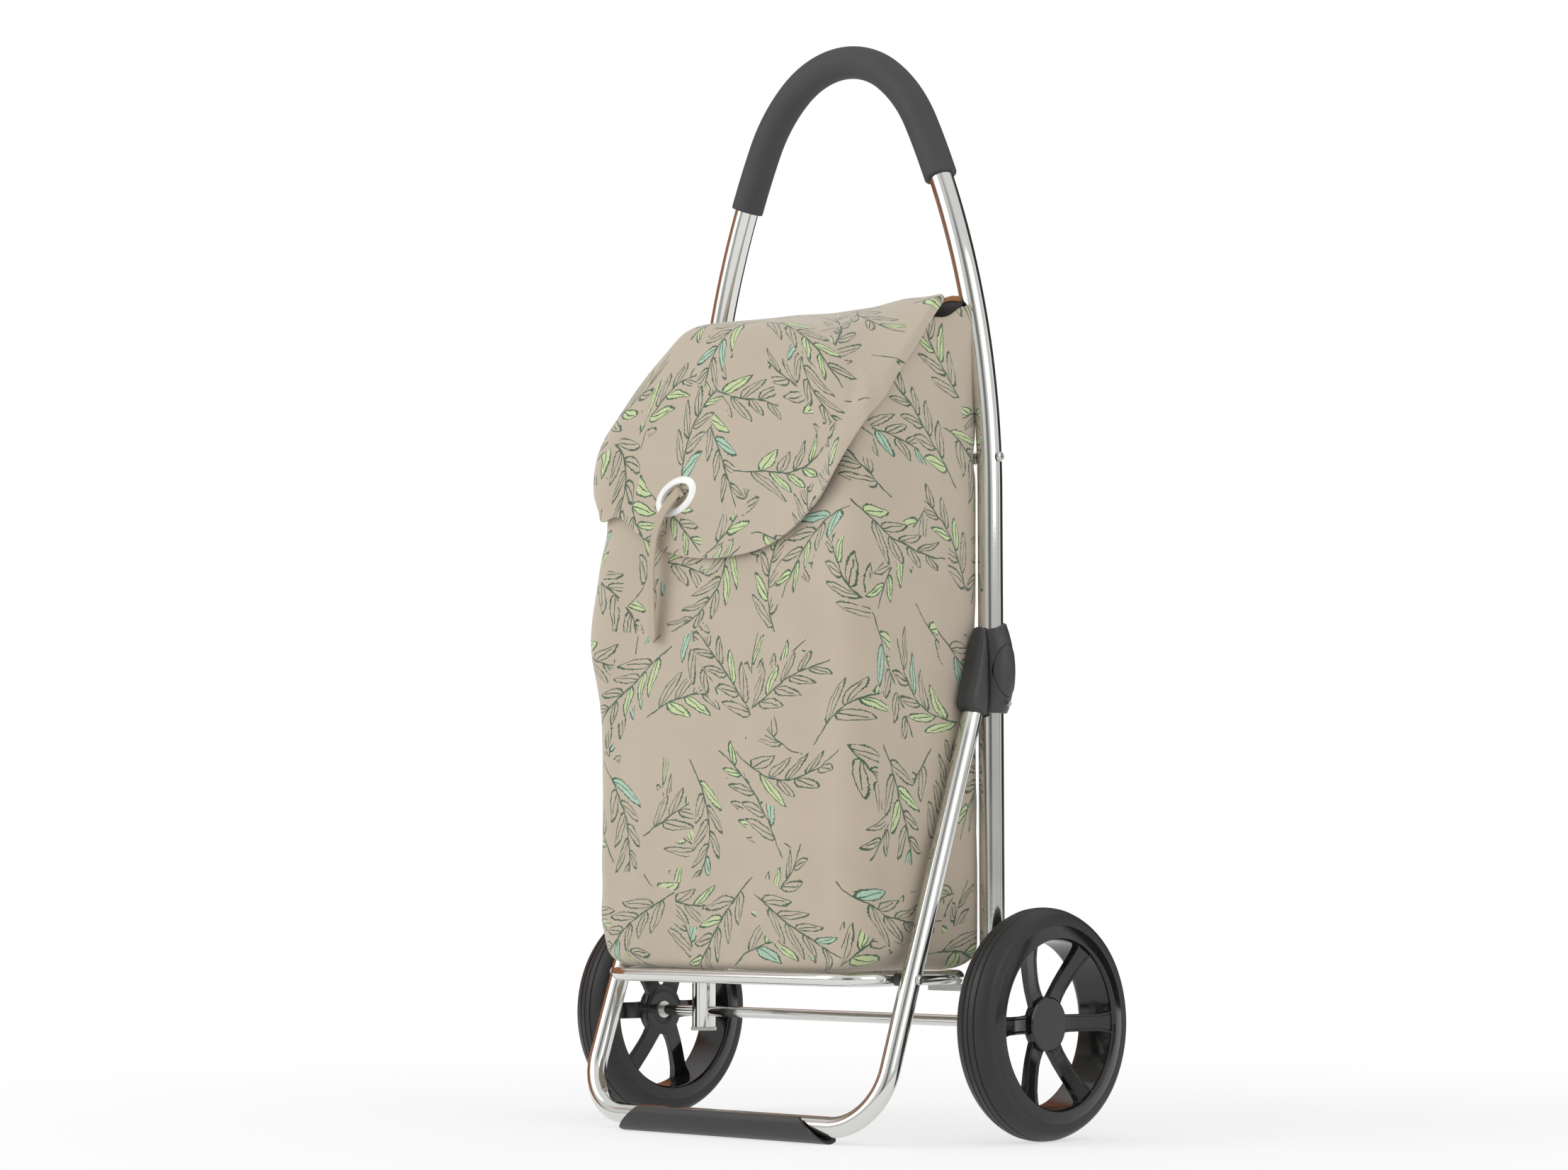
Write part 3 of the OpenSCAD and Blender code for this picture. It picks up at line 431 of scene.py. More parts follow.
# one layer of curved sprigs with leaves on both sides, a sprig to each cell of the cloth
def sprigLayer(tree, cloth, cell, shift, spin):
    style = printStyle
    wobble = addNode(tree, "ShaderNodeTexNoise", {"Vector": cloth, "Scale": 70.0, "Detail": 2.0})
    shaken = vectorSums(tree, "SUBTRACT", wobble.outputs["Color"], (0.5, 0.5, 0.5))
    shaken = vectorSums(tree, "SCALE", shaken, 0.0042)
    moved = vectorSums(tree, "ADD", cloth, shaken)
    scaled = vectorSums(tree, "SCALE", vectorSums(tree, "ADD", moved, shift), 1 / cell)
    cells = addNode(tree, "ShaderNodeTexVoronoi", {"Vector": scaled, "Scale": 1.0, "Randomness": 0.5},
                    voronoi_dimensions="2D")
    local = vectorSums(tree, "SCALE", vectorSums(tree, "SUBTRACT", scaled, cells.outputs["Position"]), cell)
    chance = addNode(tree, "ShaderNodeSeparateColor", {"Color": cells.outputs["Color"]})
    angle = sums(tree, "ADD", sums(tree, "MULTIPLY", chance.outputs[0], 5.2), spin)
    turned = addNode(tree, "ShaderNodeVectorRotate", {"Vector": local, "Angle": angle}, rotation_type="Z_AXIS")
    xyz = addNode(tree, "ShaderNodeSeparateXYZ", {"Vector": turned.outputs[0]})
    along = xyz.outputs[1]
    bow = spread(tree, chance.outputs[1], 0, 1, -9, 9)
    across = sums(tree, "SUBTRACT", xyz.outputs[0],
                  sums(tree, "MULTIPLY", bow, sums(tree, "MULTIPLY", along, along)))
    side = sums(tree, "SIGN", across)
    out = sums(tree, "ABSOLUTE", across)
    splay = math.radians(style["splay"])
    # leaves curl a little towards the tip
    lean = sums(tree, "SUBTRACT", sums(tree, "MULTIPLY", out, 1 / math.tan(splay)),
                sums(tree, "MULTIPLY", sums(tree, "MULTIPLY", out, out), -14.0))
    foot = sums(tree, "SUBTRACT", along, lean)
    count = sums(tree, "ADD", sums(tree, "DIVIDE", foot, style["pitch"]), sums(tree, "MULTIPLY", side, 0.25))
    index = sums(tree, "FLOOR", count)
    apart = sums(tree, "MULTIPLY", sums(tree, "SUBTRACT", sums(tree, "FRACT", count), 0.5),
                 style["pitch"] * math.sin(splay))
    rootAt = sums(tree, "MULTIPLY", sums(tree, "ADD", index, 0.5), style["pitch"])
    key = addNode(tree, "ShaderNodeCombineXYZ",
                  {"X": index, "Y": side, "Z": sums(tree, "MULTIPLY", chance.outputs[2], 97.0)})
    dice = addNode(tree, "ShaderNodeTexWhiteNoise", {"Vector": key.outputs[0]}, noise_dimensions="3D")
    rolls = addNode(tree, "ShaderNodeSeparateColor", {"Color": dice.outputs["Color"]})
    # shorter leaves towards the tip of the stem
    taper = spread(tree, rootAt, -style["stemHalf"], style["stemHalf"], 1.0, 0.5)
    length = sums(tree, "MULTIPLY", sums(tree, "MULTIPLY", taper, style["leafLong"]),
                  spread(tree, rolls.outputs[0], 0, 1, 0.78, 1.08))
    share = sums(tree, "DIVIDE", sums(tree, "DIVIDE", out, math.sin(splay)), length)
    inLeaf = sums(tree, "MULTIPLY", sums(tree, "LESS_THAN", share, 1.0),
                  sums(tree, "LESS_THAN", sums(tree, "ABSOLUTE", rootAt), style["stemHalf"]))
    belly = sums(tree, "MULTIPLY", sums(tree, "POWER", share, 0.8), sums(tree, "SUBTRACT", 1.0, share))
    belly = sums(tree, "MULTIPLY", belly, sums(tree, "MULTIPLY", taper, style["leafHalf"] * 3.7))
    ragged = noiseOf(tree, cloth, 520, 2)
    belly = sums(tree, "MULTIPLY", belly, spread(tree, ragged, 0.3, 0.7, 0.86, 1.14))
    off = sums(tree, "ABSOLUTE", apart)
    pressed = spread(tree, noiseOf(tree, cloth, 130, 2), 0.3, 0.7, 0.55, 1.35)
    pen = sums(tree, "MULTIPLY", pressed, style["stroke"] / 2)
    edge = sums(tree, "LESS_THAN", sums(tree, "ABSOLUTE", sums(tree, "SUBTRACT", off, belly)), pen)
    rib = sums(tree, "MULTIPLY", sums(tree, "LESS_THAN", off, sums(tree, "MULTIPLY", pen, 0.75)),
               sums(tree, "LESS_THAN", share, 0.8))
    leafLines = sums(tree, "MULTIPLY", sums(tree, "MAXIMUM", edge, rib), inLeaf)
    stem = sums(tree, "MULTIPLY", sums(tree, "LESS_THAN", out, pen),
                sums(tree, "LESS_THAN", sums(tree, "ABSOLUTE", along), style["stemHalf"] * 1.1))
    lines = sums(tree, "MAXIMUM", leafLines, stem)
    filled = sums(tree, "MULTIPLY", sums(tree, "MULTIPLY", sums(tree, "LESS_THAN", off, belly), inLeaf),
                  sums(tree, "GREATER_THAN", rolls.outputs[1], 0.68))
    covered = sums(tree, "MULTIPLY", sums(tree, "LESS_THAN", share, 1.04),
                   sums(tree, "LESS_THAN", sums(tree, "ABSOLUTE", rootAt), style["stemHalf"] * 1.15))
    return lines, filled, rolls.outputs[2], covered


# woven, padded cloth; printed with sprigs where leaves is set
def clothFinish(name, leaves, ground, fuzz=0.35):
    finish, tree, shader = newFinish(name)
    cloth = addNode(tree, "ShaderNodeUVMap", uv_map="UVMap").outputs["UV"]
    where = objectSpace(tree)
    patches = noiseOf(tree, where, 14, 4)
    darker = tuple(c * 0.9 for c in ground[:3]) + (1,)
    shade = mixColours(tree, spread(tree, patches, 0.3, 0.7, 0.0, 0.6), ground, darker)
    if leaves:
        style = printStyle
        free = None
        for cell, shift, spin in ((0.108, (0.31, 0.17, 0), 0.0), (0.108, (1.36, 0.71, 0), 1.9),
                                  (0.1, (2.11, 1.43, 0), 3.7)):
            lines, filled, pick, covered = sprigLayer(tree, cloth, cell, shift, spin)
            if free is not None:
                lines = sums(tree, "MULTIPLY", lines, free)
                filled = sums(tree, "MULTIPLY", filled, free)
            clear = sums(tree, "SUBTRACT", 1.0, covered)
            free = clear if free is None else sums(tree, "MULTIPLY", free, clear)
            leaf = mixColours(tree, spread(tree, pick, 0.76, 0.79), style["leafA"], style["leafB"])
            dots = addNode(tree, "ShaderNodeTexVoronoi", {"Vector": cloth, "Scale": 620.0}).outputs["Distance"]
            leaf = mixColours(tree, spread(tree, dots, 0.26, 0.34, 0.55, 0.0), leaf, tint(120, 160, 110))
            shade = mixColours(tree, sums(tree, "MULTIPLY", filled, 0.95), shade, leaf)
            shade = mixColours(tree, sums(tree, "MULTIPLY", lines, 0.94), shade, style["line"])
    weave = []
    for direction in ("X", "Y"):
        weave.append(addNode(tree, "ShaderNodeTexWave", {"Vector": cloth, "Scale": 420.0, "Distortion": 0.6,
                                                          "Detail": 1.0}, bands_direction=direction).outputs["Fac"])
    threads = sums(tree, "MAXIMUM", weave[0], weave[1])
    # painted shade: the gaps between the threads are darkened with dark brown
    shade = mixColours(tree, spread(tree, threads, 0.55, 1.0, 0.13, 0.0), shade, (0.12, 0.1, 0.08, 1))
    tree.links.new(shade, shader.inputs["Base Color"])
    tree.links.new(spread(tree, patches, 0.3, 0.7, 0.82, 0.94), shader.inputs["Roughness"])
    shader.inputs["Specular IOR Level"].default_value = 0.18
    shader.inputs["Sheen Weight"].default_value = fuzz
    shader.inputs["Sheen Roughness"].default_value = 0.6
    height = sums(tree, "ADD", threads, sums(tree, "MULTIPLY", noiseOf(tree, where, 900, 2), 0.6))
    bumpOf(tree, shader, height, 0.0001, 0.6)
    return finish


# tape with ribs along it, for strap, loops and binding
def tapeFinish(name, colour, ribs):
    finish, tree, shader = newFinish(name)
    cloth = addNode(tree, "ShaderNodeUVMap", uv_map="UVMap").outputs["UV"]
    ridge = addNode(tree, "ShaderNodeTexWave", {"Vector": cloth, "Scale": ribs, "Distortion": 0.8},
                    bands_direction="X").outputs["Fac"]
    picks = addNode(tree, "ShaderNodeTexWave", {"Vector": cloth, "Scale": ribs * 1.3, "Distortion": 1.2},
                    bands_direction="Y").outputs["Fac"]
    weave = sums(tree, "MULTIPLY", ridge, picks)
    cloud = noiseOf(tree, cloth, 60, 3)
    shade = mixColours(tree, cloud, colour, tuple(c * 0.9 for c in colour[:3]) + (1,))
    # painted shade: the hollows between the ribs are darkened with near black
    shade = mixColours(tree, spread(tree, weave, 0.0, 0.4, 0.12, 0.0), shade, (0.08, 0.06, 0.04, 1))
    tree.links.new(shade, shader.inputs["Base Color"])
    tree.links.new(spread(tree, cloud, 0.3, 0.7, 0.75, 0.9), shader.inputs["Roughness"])
    shader.inputs["Sheen Weight"].default_value = 0.25
    bumpOf(tree, shader, weave, 0.00015, 0.7)
    return finish


chrome = platedMetal("polishedTube", tint(222, 222, 219), 0.05, 0.13)
brightSteel = platedMetal("zincSteel", tint(205, 205, 203), 0.2, 0.34)
greyPlastic = mouldedPlastic("satinGreyPlastic", tint(52, 52, 53), 0.42, 900, 0.00003)
sleevePlastic = mouldedPlastic("satinBlackPlastic", tint(45, 45, 46), 0.38, 700, 0.00004)
palePlastic = mouldedPlastic("palePlastic", tint(200, 200, 198), 0.35, 600, 0.00002)
bearingPlastic = mouldedPlastic("bearingPlastic", tint(206, 205, 200), 0.4, 500, 0.00002)
wheelPlastic = mouldedPlastic("glossWheelPlastic", tint(17, 17, 18), 0.1, 200, 0.000004, 0.55)
boardPlastic = mouldedPlastic("floorBoard", tint(58, 57, 56), 0.5, 500, 0.00005)
eyeletPaint = mouldedPlastic("whiteEnamel", tint(236, 236, 234), 0.2, 300, 0.00001)
foam = foamFinish("ribFreeFoam")
tyreRubber = tyreFinish("softTyre")
bagCloth = clothFinish("sprigCloth", True, printStyle["ground"])
liningCloth = clothFinish("greyLining", False, tint(92, 90, 88), 0.1)
strapTape = tapeFinish("strapTape", tint(186, 172, 150), 330)
loopTape = tapeFinish("loopTape", tint(150, 130, 106), 260)
# painted light: the binding's brown is set lighter than its own colour, to make up for the shade it sits in
bindingTape = tapeFinish("brownBinding", tint(178, 118, 70), 300)
print("finishes made")


# strap
def strapMesh():
    line = [spot(p) for p in strap["route"]]
    fine = []
    for i in range(len(line) - 1):
        a, b, c, d = line[max(i - 1, 0)], line[i], line[i + 1], line[min(i + 2, len(line) - 1)]
        for k in range(4):
            t = k / 4
            fine.append(0.5 * (2 * b + (c - a) * t + (2 * a - 5 * b + 4 * c - d) * t * t
                               + (3 * b - a - 3 * c + d) * t * t * t))
    fine.append(line[-1])
    half, thick, groove = strap["width"] / 2000, strap["tape"] / 2000, strap["groove"] / 1000
    # two folded tapes side by side, with a groove between them
    outline = []
    for k in range(24):
        a = 2 * math.pi * k / 24
        across = half * math.copysign(abs(math.cos(a)) ** 0.55, math.cos(a))
        deep = thick * math.copysign(abs(math.sin(a)) ** 0.6, math.sin(a))
        deep *= 1 - 0.62 * math.exp(-(across / groove) ** 2)
        outline.append((across, deep))
    ways = headings(fine)
    rows, uvs, run = [], [], 0.0
    for i, (p, way) in enumerate(zip(fine, ways)):
        if i:
            run += (p - fine[i - 1]).length
        side = way.cross(Vector((strap["facing"], 1, 0))).normalized()
        up = side.cross(way)
        left = (fine[-1] - p).length
        shrink = 1 if left > 0.0012 else 0.8
        rows.append([p + side * q[0] * shrink + up * q[1] * shrink for q in outline])
        uvs.append([(q[0], run) for q in outline + outline[:1]])
    mesh = netMesh("closingStrap", rows, uvs, closed=True, capStart=True, capEnd=True)
    faceOut(mesh)
    softenShading(mesh, 70)
    length = sum((fine[i + 1] - fine[i]).length for i in range(len(fine) - 1))
    return mesh, fine, length


strapShape, strapLine, strapLength = strapMesh()
closingStrap = addPiece("closingStrap", strapShape, "flap", strapTape, ["closing_strap"])
print("strap hung, length", round(strapLength, 4))

# rear frame
hoop = {"uprightX": 178, "footZ": 85, "tube": 22, "lowR": 780, "lowAngle": 26.2, "midR": 140,
        "midAngle": 26, "topZ": 977, "gripFrom": 854, "gripTube": 30, "gripBore": 22.3}
lean = math.radians(19.6)


def archPoints(fromZ=None):
    lowEnd, midEnd = math.radians(hoop["lowAngle"]), math.radians(hoop["lowAngle"] + hoop["midAngle"])
    lowIn = hoop["lowR"] * (1 - math.cos(lowEnd))
    midIn = hoop["midR"] * (math.cos(lowEnd) - math.cos(midEnd))
    topR = (hoop["uprightX"] - lowIn - midIn) / math.cos(midEnd)
    bendZ = (hoop["topZ"] - hoop["lowR"] * math.sin(lowEnd)
             - hoop["midR"] * (math.sin(midEnd) - math.sin(lowEnd)) - topR * (1 - math.sin(midEnd)))
    lowX = hoop["uprightX"] - hoop["lowR"]
    gap = hoop["lowR"] - hoop["midR"]
    start = 0 if fromZ is None else math.degrees(math.asin((fromZ - bendZ) / hoop["lowR"]))
    right = arcLine(lowX, bendZ, hoop["lowR"], start, hoop["lowAngle"], 26)
    right += arcLine(lowX + gap * math.cos(lowEnd), bendZ + gap * math.sin(lowEnd), hoop["midR"],
                     hoop["lowAngle"], hoop["lowAngle"] + hoop["midAngle"], 10)[1:]
    right += arcLine(0, hoop["topZ"] - topR, topR, hoop["lowAngle"] + hoop["midAngle"], 90, 16)[1:]
    if fromZ is None:
        right = [(hoop["uprightX"], hoop["footZ"] + (bendZ - hoop["footZ"]) * k / 12) for k in range(12)] + right
    whole = right + [(-x, z) for x, z in reversed(right[:-1])]
    return [place(x, 0, z) for x, z in whole]


addPiece("handleHoop", tubeMesh("handleHoop", archPoints(), hoop["tube"] / 2000, 48, edge=0.0004, bore=0.0095),
         "frame", chrome, ["handle_hoop"])
grip = addPiece("handleGrip", tubeMesh("handleGrip", archPoints(hoop["gripFrom"]), hoop["gripTube"] / 2000, 56,
                                       edge=0.0014, bore=hoop["gripBore"] / 2000),
                "frame", foam, ["handle_grip"])

crossBar = {"z": 595, "tube": 12, "half": 166}
barLine = [place(-crossBar["half"] + 2 * crossBar["half"] * k / 10, 0, crossBar["z"]) for k in range(11)]
addPiece("crossBar", tubeMesh("crossBar", barLine, crossBar["tube"] / 2000, 32, edge=0.0006),
         "frame", chrome, ["cross_bar"])
axleRod = {"half": 240.2, "rod": 10, "z": 100}
axleLine = [place(-axleRod["half"] + 2 * axleRod["half"] * k / 10, 0, axleRod["z"]) for k in range(11)]
addPiece("axleRod", tubeMesh("axleRod", axleLine, axleRod["rod"] / 2000, 32, edge=0.0008),
         "frame", chrome, ["axle"])
print("rear frame made")

# front leg and loading ring
leg = {"x": 178.5, "hinge": (22.2, 378), "tube": 18, "start": 9.5, "footZ": 14.5, "bend": 52}
legLength = (leg["hinge"][1] - leg["footZ"]) / math.cos(lean)


# point of the leaned leg: x, forward of its plane, down along it
def onLeg(x, forward, down):
    hingeY, hingeZ = leg["hinge"]
    return place(x, -hingeY - forward * math.cos(lean) - down * math.sin(lean),
                 hingeZ + forward * math.sin(lean) - down * math.cos(lean))


def legLine():
    straight = legLength - leg["bend"] - leg["start"]
    right = [(leg["x"], leg["start"] + straight * k / 14) for k in range(14)]
    bend = arcLine(leg["x"] - leg["bend"], legLength - leg["bend"], leg["bend"], 0, 90, 18)
    right += bend
    flat = leg["x"] - leg["bend"]
    bottom = [(flat - 2 * flat * k / 10, legLength) for k in range(1, 10)]
    whole = right + bottom + [(-x, down) for x, down in reversed(right)]
    return [onLeg(x, 0, down) for x, down in whole]


addPiece("frontLeg", tubeMesh("frontLeg", legLine(), leg["tube"] / 2000, 44, edge=0.0006, bore=0.0075),
         "legs", chrome, ["leg_frame"])

ring = {"halfX": 156, "front": -154, "rear": -6, "z": 139, "tube": 12, "bend": 39, "rearBend": 24}


def ringLine():
    points = []
    cy, dy = (ring["front"] + ring["rear"]) / 2, (ring["rear"] - ring["front"]) / 2
    for cornerX, cornerY, start in ((1, 1, 0), (-1, 1, 90), (-1, -1, 180), (1, -1, 270)):
        bend = ring["rearBend"] if cornerY > 0 else ring["bend"]
        cx = cornerX * (ring["halfX"] - bend)
        cz = cy + cornerY * (dy - bend)
        points += arcLine(cx, cz, bend, start, start + 90, 14)
    full = []
    for i, here in enumerate(points):
        after = points[(i + 1) % len(points)]
        gap = math.dist(here, after)
        if gap < 0.01:
            continue
        parts = 6 if gap > 30 else 1
        for k in range(parts):
            full.append((here[0] + (after[0] - here[0]) * k / parts, here[1] + (after[1] - here[1]) * k / parts))
    return [place(x, y, ring["z"]) for x, y in full]


addPiece("loadingRing", tubeMesh("loadingRing", ringLine(), ring["tube"] / 2000, 32, closed=True),
         "platform", chrome, ["loading_ring"])
print("leg and ring made")

# wheels
wheel = {"middle": 235, "tyreR": 100, "tyreHalf": 18.5, "crown": 26, "rimR": 85, "openR": 74, "lip": 21,
         "hubR": 23.5, "hubIn": -2.4, "hubOut": 3.6, "capOut": 7.1, "bushR": 8,
         "spokes": 6, "spokeWide": 15, "rib": 1.7, "sunk": 1.4}


def tyreOutline():
    crownAt = wheel["tyreR"] - wheel["crown"]
    grooves, grooveDeep = (-6, 0, 6), 0.7
    outer = []
    along = -wheel["tyreHalf"]
    while along <= wheel["tyreHalf"] + 0.01:
        outer.append((along, crownAt + math.sqrt(wheel["crown"] ** 2 - along ** 2)))
        along += 1.0278
    cut = [point for point in outer if all(abs(point[0] - g) > 0.75 for g in grooves)]
    for g in grooves:
        top = crownAt + math.sqrt(wheel["crown"] ** 2 - g * g)
        cut += [(g - 0.6, top), (g - 0.35, top - grooveDeep), (g + 0.35, top - grooveDeep), (g + 0.6, top)]
    cut.sort()
    half, bead = wheel["tyreHalf"], wheel["rimR"] + 0.1
    left = [(-half, bead), (-half, 90.6), (-17.9, 92.4)]
    right = [(17.9, 92.4), (half, 90.6), (half, bead), (14.9, 79.4), (-14.9, 79.4)]
    return left + cut[2:-2] + right


def rimOutline():
    lip, seat, openR, rimR = wheel["lip"], wheel["tyreHalf"], wheel["openR"], wheel["rimR"]
    half = [(openR - 2, lip - 4), (openR, lip), (rimR, seat), (rimR, seat - 1.2), (79, seat - 3)]
    outline = [(-a, r) for r, a in half] + [(a, r) for r, a in reversed(half)]
    return rounded(outline, 1.1, 3)


def spokeMesh(side, angle):
    front = [(20.5, 3.0), (23.5, 3.7), (30, 4.3), (37.5, 5.6), (48, 8.6), (60, 12.9), (68, 16.2), (73.5, 18.4)]
    back = [(20.5, -2.2), (23.5, -2.2), (30, -1.6), (37.5, -0.4), (48, 2.2), (60, 5.6), (68, 8.6), (73.5, 10.8)]
    rows = []
    for (r, f), (_, b) in zip(front, back):
        half = wheel["spokeWide"] / 2 + 2.6 * max(0, (r - 60) / 13.5) ** 2 + 1.2 * max(0, (32 - r) / 12) ** 2
        rib, sunk = wheel["rib"], wheel["sunk"] if r > 25 else 0.1
        section = [(-half, b), (-half, f), (-half + rib, f), (-half + rib + 0.8, f - sunk),
                   (half - rib - 0.8, f - sunk), (half - rib, f), (half, f), (half, b)]
        row = []
        for across, along in section:
            y = r * math.cos(angle) - across * math.sin(angle)
            z = r * math.sin(angle) + across * math.cos(angle)
            row.append(place(side * (wheel["middle"] + along), y, 100 + z))
        rows.append(row)
    return netMesh("spoke", rows, None, closed=True, capStart=True, capEnd=True)


for sideName, side in (("left", -1), ("right", 1)):
    body = "wheel_" + sideName
    middle = wheel["middle"]
    addPiece("tyre" + sideName.title(), turnedMesh("tyre", tyreOutline(), side, middle, 192, 30), body, tyreRubber,
             ["tyre_" + sideName])
    parts = [turnedMesh("rimBarrel", rimOutline(), side, middle, 192, 50)]
    hubLine = [(wheel["hubIn"], wheel["bushR"]), (wheel["hubIn"], wheel["hubR"]), (wheel["hubOut"], wheel["hubR"]),
               (wheel["hubOut"], wheel["bushR"])]
    parts.append(turnedMesh("hub", rounded(hubLine, 0.8, 2), side, middle, 96))
    parts += [spokeMesh(side, math.radians(60 * k)) for k in range(wheel["spokes"])]
    rimShape = joinMeshes("rim" + sideName.title(), parts)
    faceOut(rimShape)
    softenShading(rimShape, 42)
    rimPiece = addPiece("rim" + sideName.title(), rimShape, body, wheelPlastic, ["rim_" + sideName])
    bevelEdges(rimPiece, 0.45)
    capLine = [(wheel["hubOut"], 0.3), (wheel["hubOut"], wheel["hubR"]), (wheel["capOut"] - 1.0, wheel["hubR"]),
               (wheel["capOut"], wheel["hubR"] - 1.4), (wheel["capOut"] + 0.1, 0.3)]
    addPiece("hubCap" + sideName.title(), turnedMesh("hubCap", capLine, side, middle, 96, 25), body, wheelPlastic,
             ["hub_cap_" + sideName])
print("wheels made")

# hinge clips, buttons and leg heads
clip = {"x": 178, "low": 369, "top": 446, "middle": 406, "round": 14.2, "reach": 22.8, "faceR": 87,
        "bore": 11.1, "tongue": (8.8, 6.4), "buttonHalf": (13.1, 23), "gap": 0.4, "pocketX": 191.9, "proud": 1.0}


def clipReach(z):
    fall = clip["faceR"] - math.sqrt(clip["faceR"] ** 2 - (z - clip["middle"]) ** 2)
    return max(clip["x"] + clip["reach"] - fall, clip["x"] + clip["round"])


# outline of the clip at one height, shrunk by inset, as (x, y) round the tube
def clipSection(z, inset):
    r = clip["round"] - inset
    outer = clipReach(z) - inset - r
    count = 56
    line = []
    for k in range(count):
        a = 2 * math.pi * k / count
        cx = clip["x"] if math.cos(a) < 0 else outer
        line.append((cx + r * math.cos(a), r * math.sin(a)))
    return line


def clipTop(y):
    # the upper edge rises in a wave from the front to the rounded rear
    t = min(1, max(0, (y + clip["round"]) / (2 * clip["round"])))
    return clip["top"] - 3.5 + 6.5 * (t * t * (3 - 2 * t)) - 1.5 * max(0, t - 0.8) * 5 * max(0, t - 0.8)


def clipMesh(side):
    rows = []
    levels = [0, 0.04, 0.1, 0.2, 0.3, 0.4, 0.5, 0.6, 0.7, 0.8, 0.9, 0.96, 1.0]
    edge = 2.2

    def ringAt(share, inset, bored=False, lift=0.0):
        row = []
        for x, y in clipSection(clip["low"] + share * (clip["top"] - clip["low"]), inset):
            z = clip["low"] + share * (clipTop(y) - clip["low"]) + lift
            if bored:
                a = math.atan2(y, x - clip["x"])
                x, y = clip["x"] + clip["bore"] * math.cos(a), clip["bore"] * math.sin(a)
            row.append(place(side * x, y, z))
        return row

    rows.append(ringAt(0, 0, bored=True, lift=8))
    rows.append(ringAt(0, 0, bored=True))
    for a in (0, 30, 60, 90):
        turn = math.radians(a)
        rows.append(ringAt(0, 1.0 * (1 - math.sin(turn)), lift=1.0 * (1 - math.cos(turn))))
    for share in levels[1:-1]:
        rows.append(ringAt(share, 0))
    for a in (0, 22, 45, 68, 90):
        turn = math.radians(a)
        rows.append(ringAt(1, edge * (1 - math.cos(turn)), lift=-edge * (1 - math.sin(turn))))
    rows.append(ringAt(1, 0, bored=True))
    rows.append(ringAt(1, 0, bored=True, lift=-8))
    mesh = netMesh("clip", rows, None, closed=True, loop=True)
    faceOut(mesh)
    pocket = []
    for x in (clip["pocketX"] - 3.0, clip["pocketX"] + 40):
        row = []
        for k in range(72):
            a = 2 * math.pi * k / 72
            row.append(place(side * x, (clip["buttonHalf"][0] + clip["gap"]) * math.cos(a),
                             clip["middle"] + (clip["buttonHalf"][1] + clip["gap"]) * math.sin(a)))
        pocket.append(row)
    cutter = netMesh("pocket", pocket, None, closed=True, capStart=True, capEnd=True)
    faceOut(cutter)
    done = carve(mesh, cutter)
    width, radius = clip["tongue"]
    hingeY, hingeZ = leg["hinge"]
    tongue = []
    flat = [(-11.5, hingeZ + radius), (-hingeY, hingeZ + radius)]
    flat += [(-hingeY - radius * math.sin(math.radians(a)), hingeZ + radius * math.cos(math.radians(a)))
             for a in range(15, 180, 15)]
    flat += [(-hingeY, hingeZ - radius), (-11.5, hingeZ - radius)]
    for x in (leg["x"] - width / 2, leg["x"] + width / 2):
        tongue.append([place(side * x, y, z) for y, z in flat])
    tongueMesh = netMesh("tongue", tongue, None, closed=True, capStart=True, capEnd=True)
    joined = joinMeshes("clip", [done, tongueMesh])
    faceOut(joined)
    softenShading(joined, 38)
    return joined


def clipFace(y, z):
    return clipReach(z) - clip["round"] + math.sqrt(max(0, clip["round"] ** 2 - y * y))


def buttonMesh(side):
    rows = []
    for share in (0.02, 0.25, 0.5, 0.7, 0.85, 0.93, 0.97, 1.0):
        row = []
        sink = 0 if share < 0.9 else clip["proud"] * ((share - 0.9) / 0.1) ** 2
        for k in range(72):
            a = 2 * math.pi * k / 72
            y = clip["buttonHalf"][0] * share * math.cos(a)
            z = clip["middle"] + clip["buttonHalf"][1] * share * math.sin(a)
            row.append(place(side * (clipFace(y, z) + clip["proud"] - sink), y, z))
        rows.append(row)
    base = [place(side * clip["pocketX"], clip["buttonHalf"][0] * math.cos(2 * math.pi * k / 72),
                  clip["middle"] + clip["buttonHalf"][1] * math.sin(2 * math.pi * k / 72)) for k in range(72)]
    rows.append(base)
    mesh = netMesh("button", rows, None, closed=True, capStart=True, capEnd=True)
    faceOut(mesh)
    softenShading(mesh, 45)
    return mesh


head = {
    # front and rear point of each row as (y, z), half the width, and how square the section is
    "rows": [((-38.6, 374.6), (-17.6, 366.9), 11.6, 2.4), ((-39.2, 378.0), (-16.4, 370.4), 11.8, 2.5),
             ((-38.0, 383.5), (-15.0, 377.4), 11.8, 2.6), ((-35.8, 389.5), (-14.7, 384.5), 11.7, 2.6),
             ((-32.2, 399.5), (-14.7, 395.5), 11.4, 2.6), ((-28.4, 410.5), (-14.7, 407.0), 10.9, 2.6),
             ((-25.0, 421.0), (-14.7, 418.5), 10.2, 2.5), ((-22.0, 431.5), (-14.7, 429.5), 9.1, 2.4),
             ((-20.0, 438.5), (-14.7, 437.2), 7.8, 2.3), ((-18.8, 442.5), (-14.9, 441.8), 6.0, 2.2),
             ((-17.9, 444.2), (-15.6, 444.0), 3.4, 2.0)],
    "slot": 9.4,
}


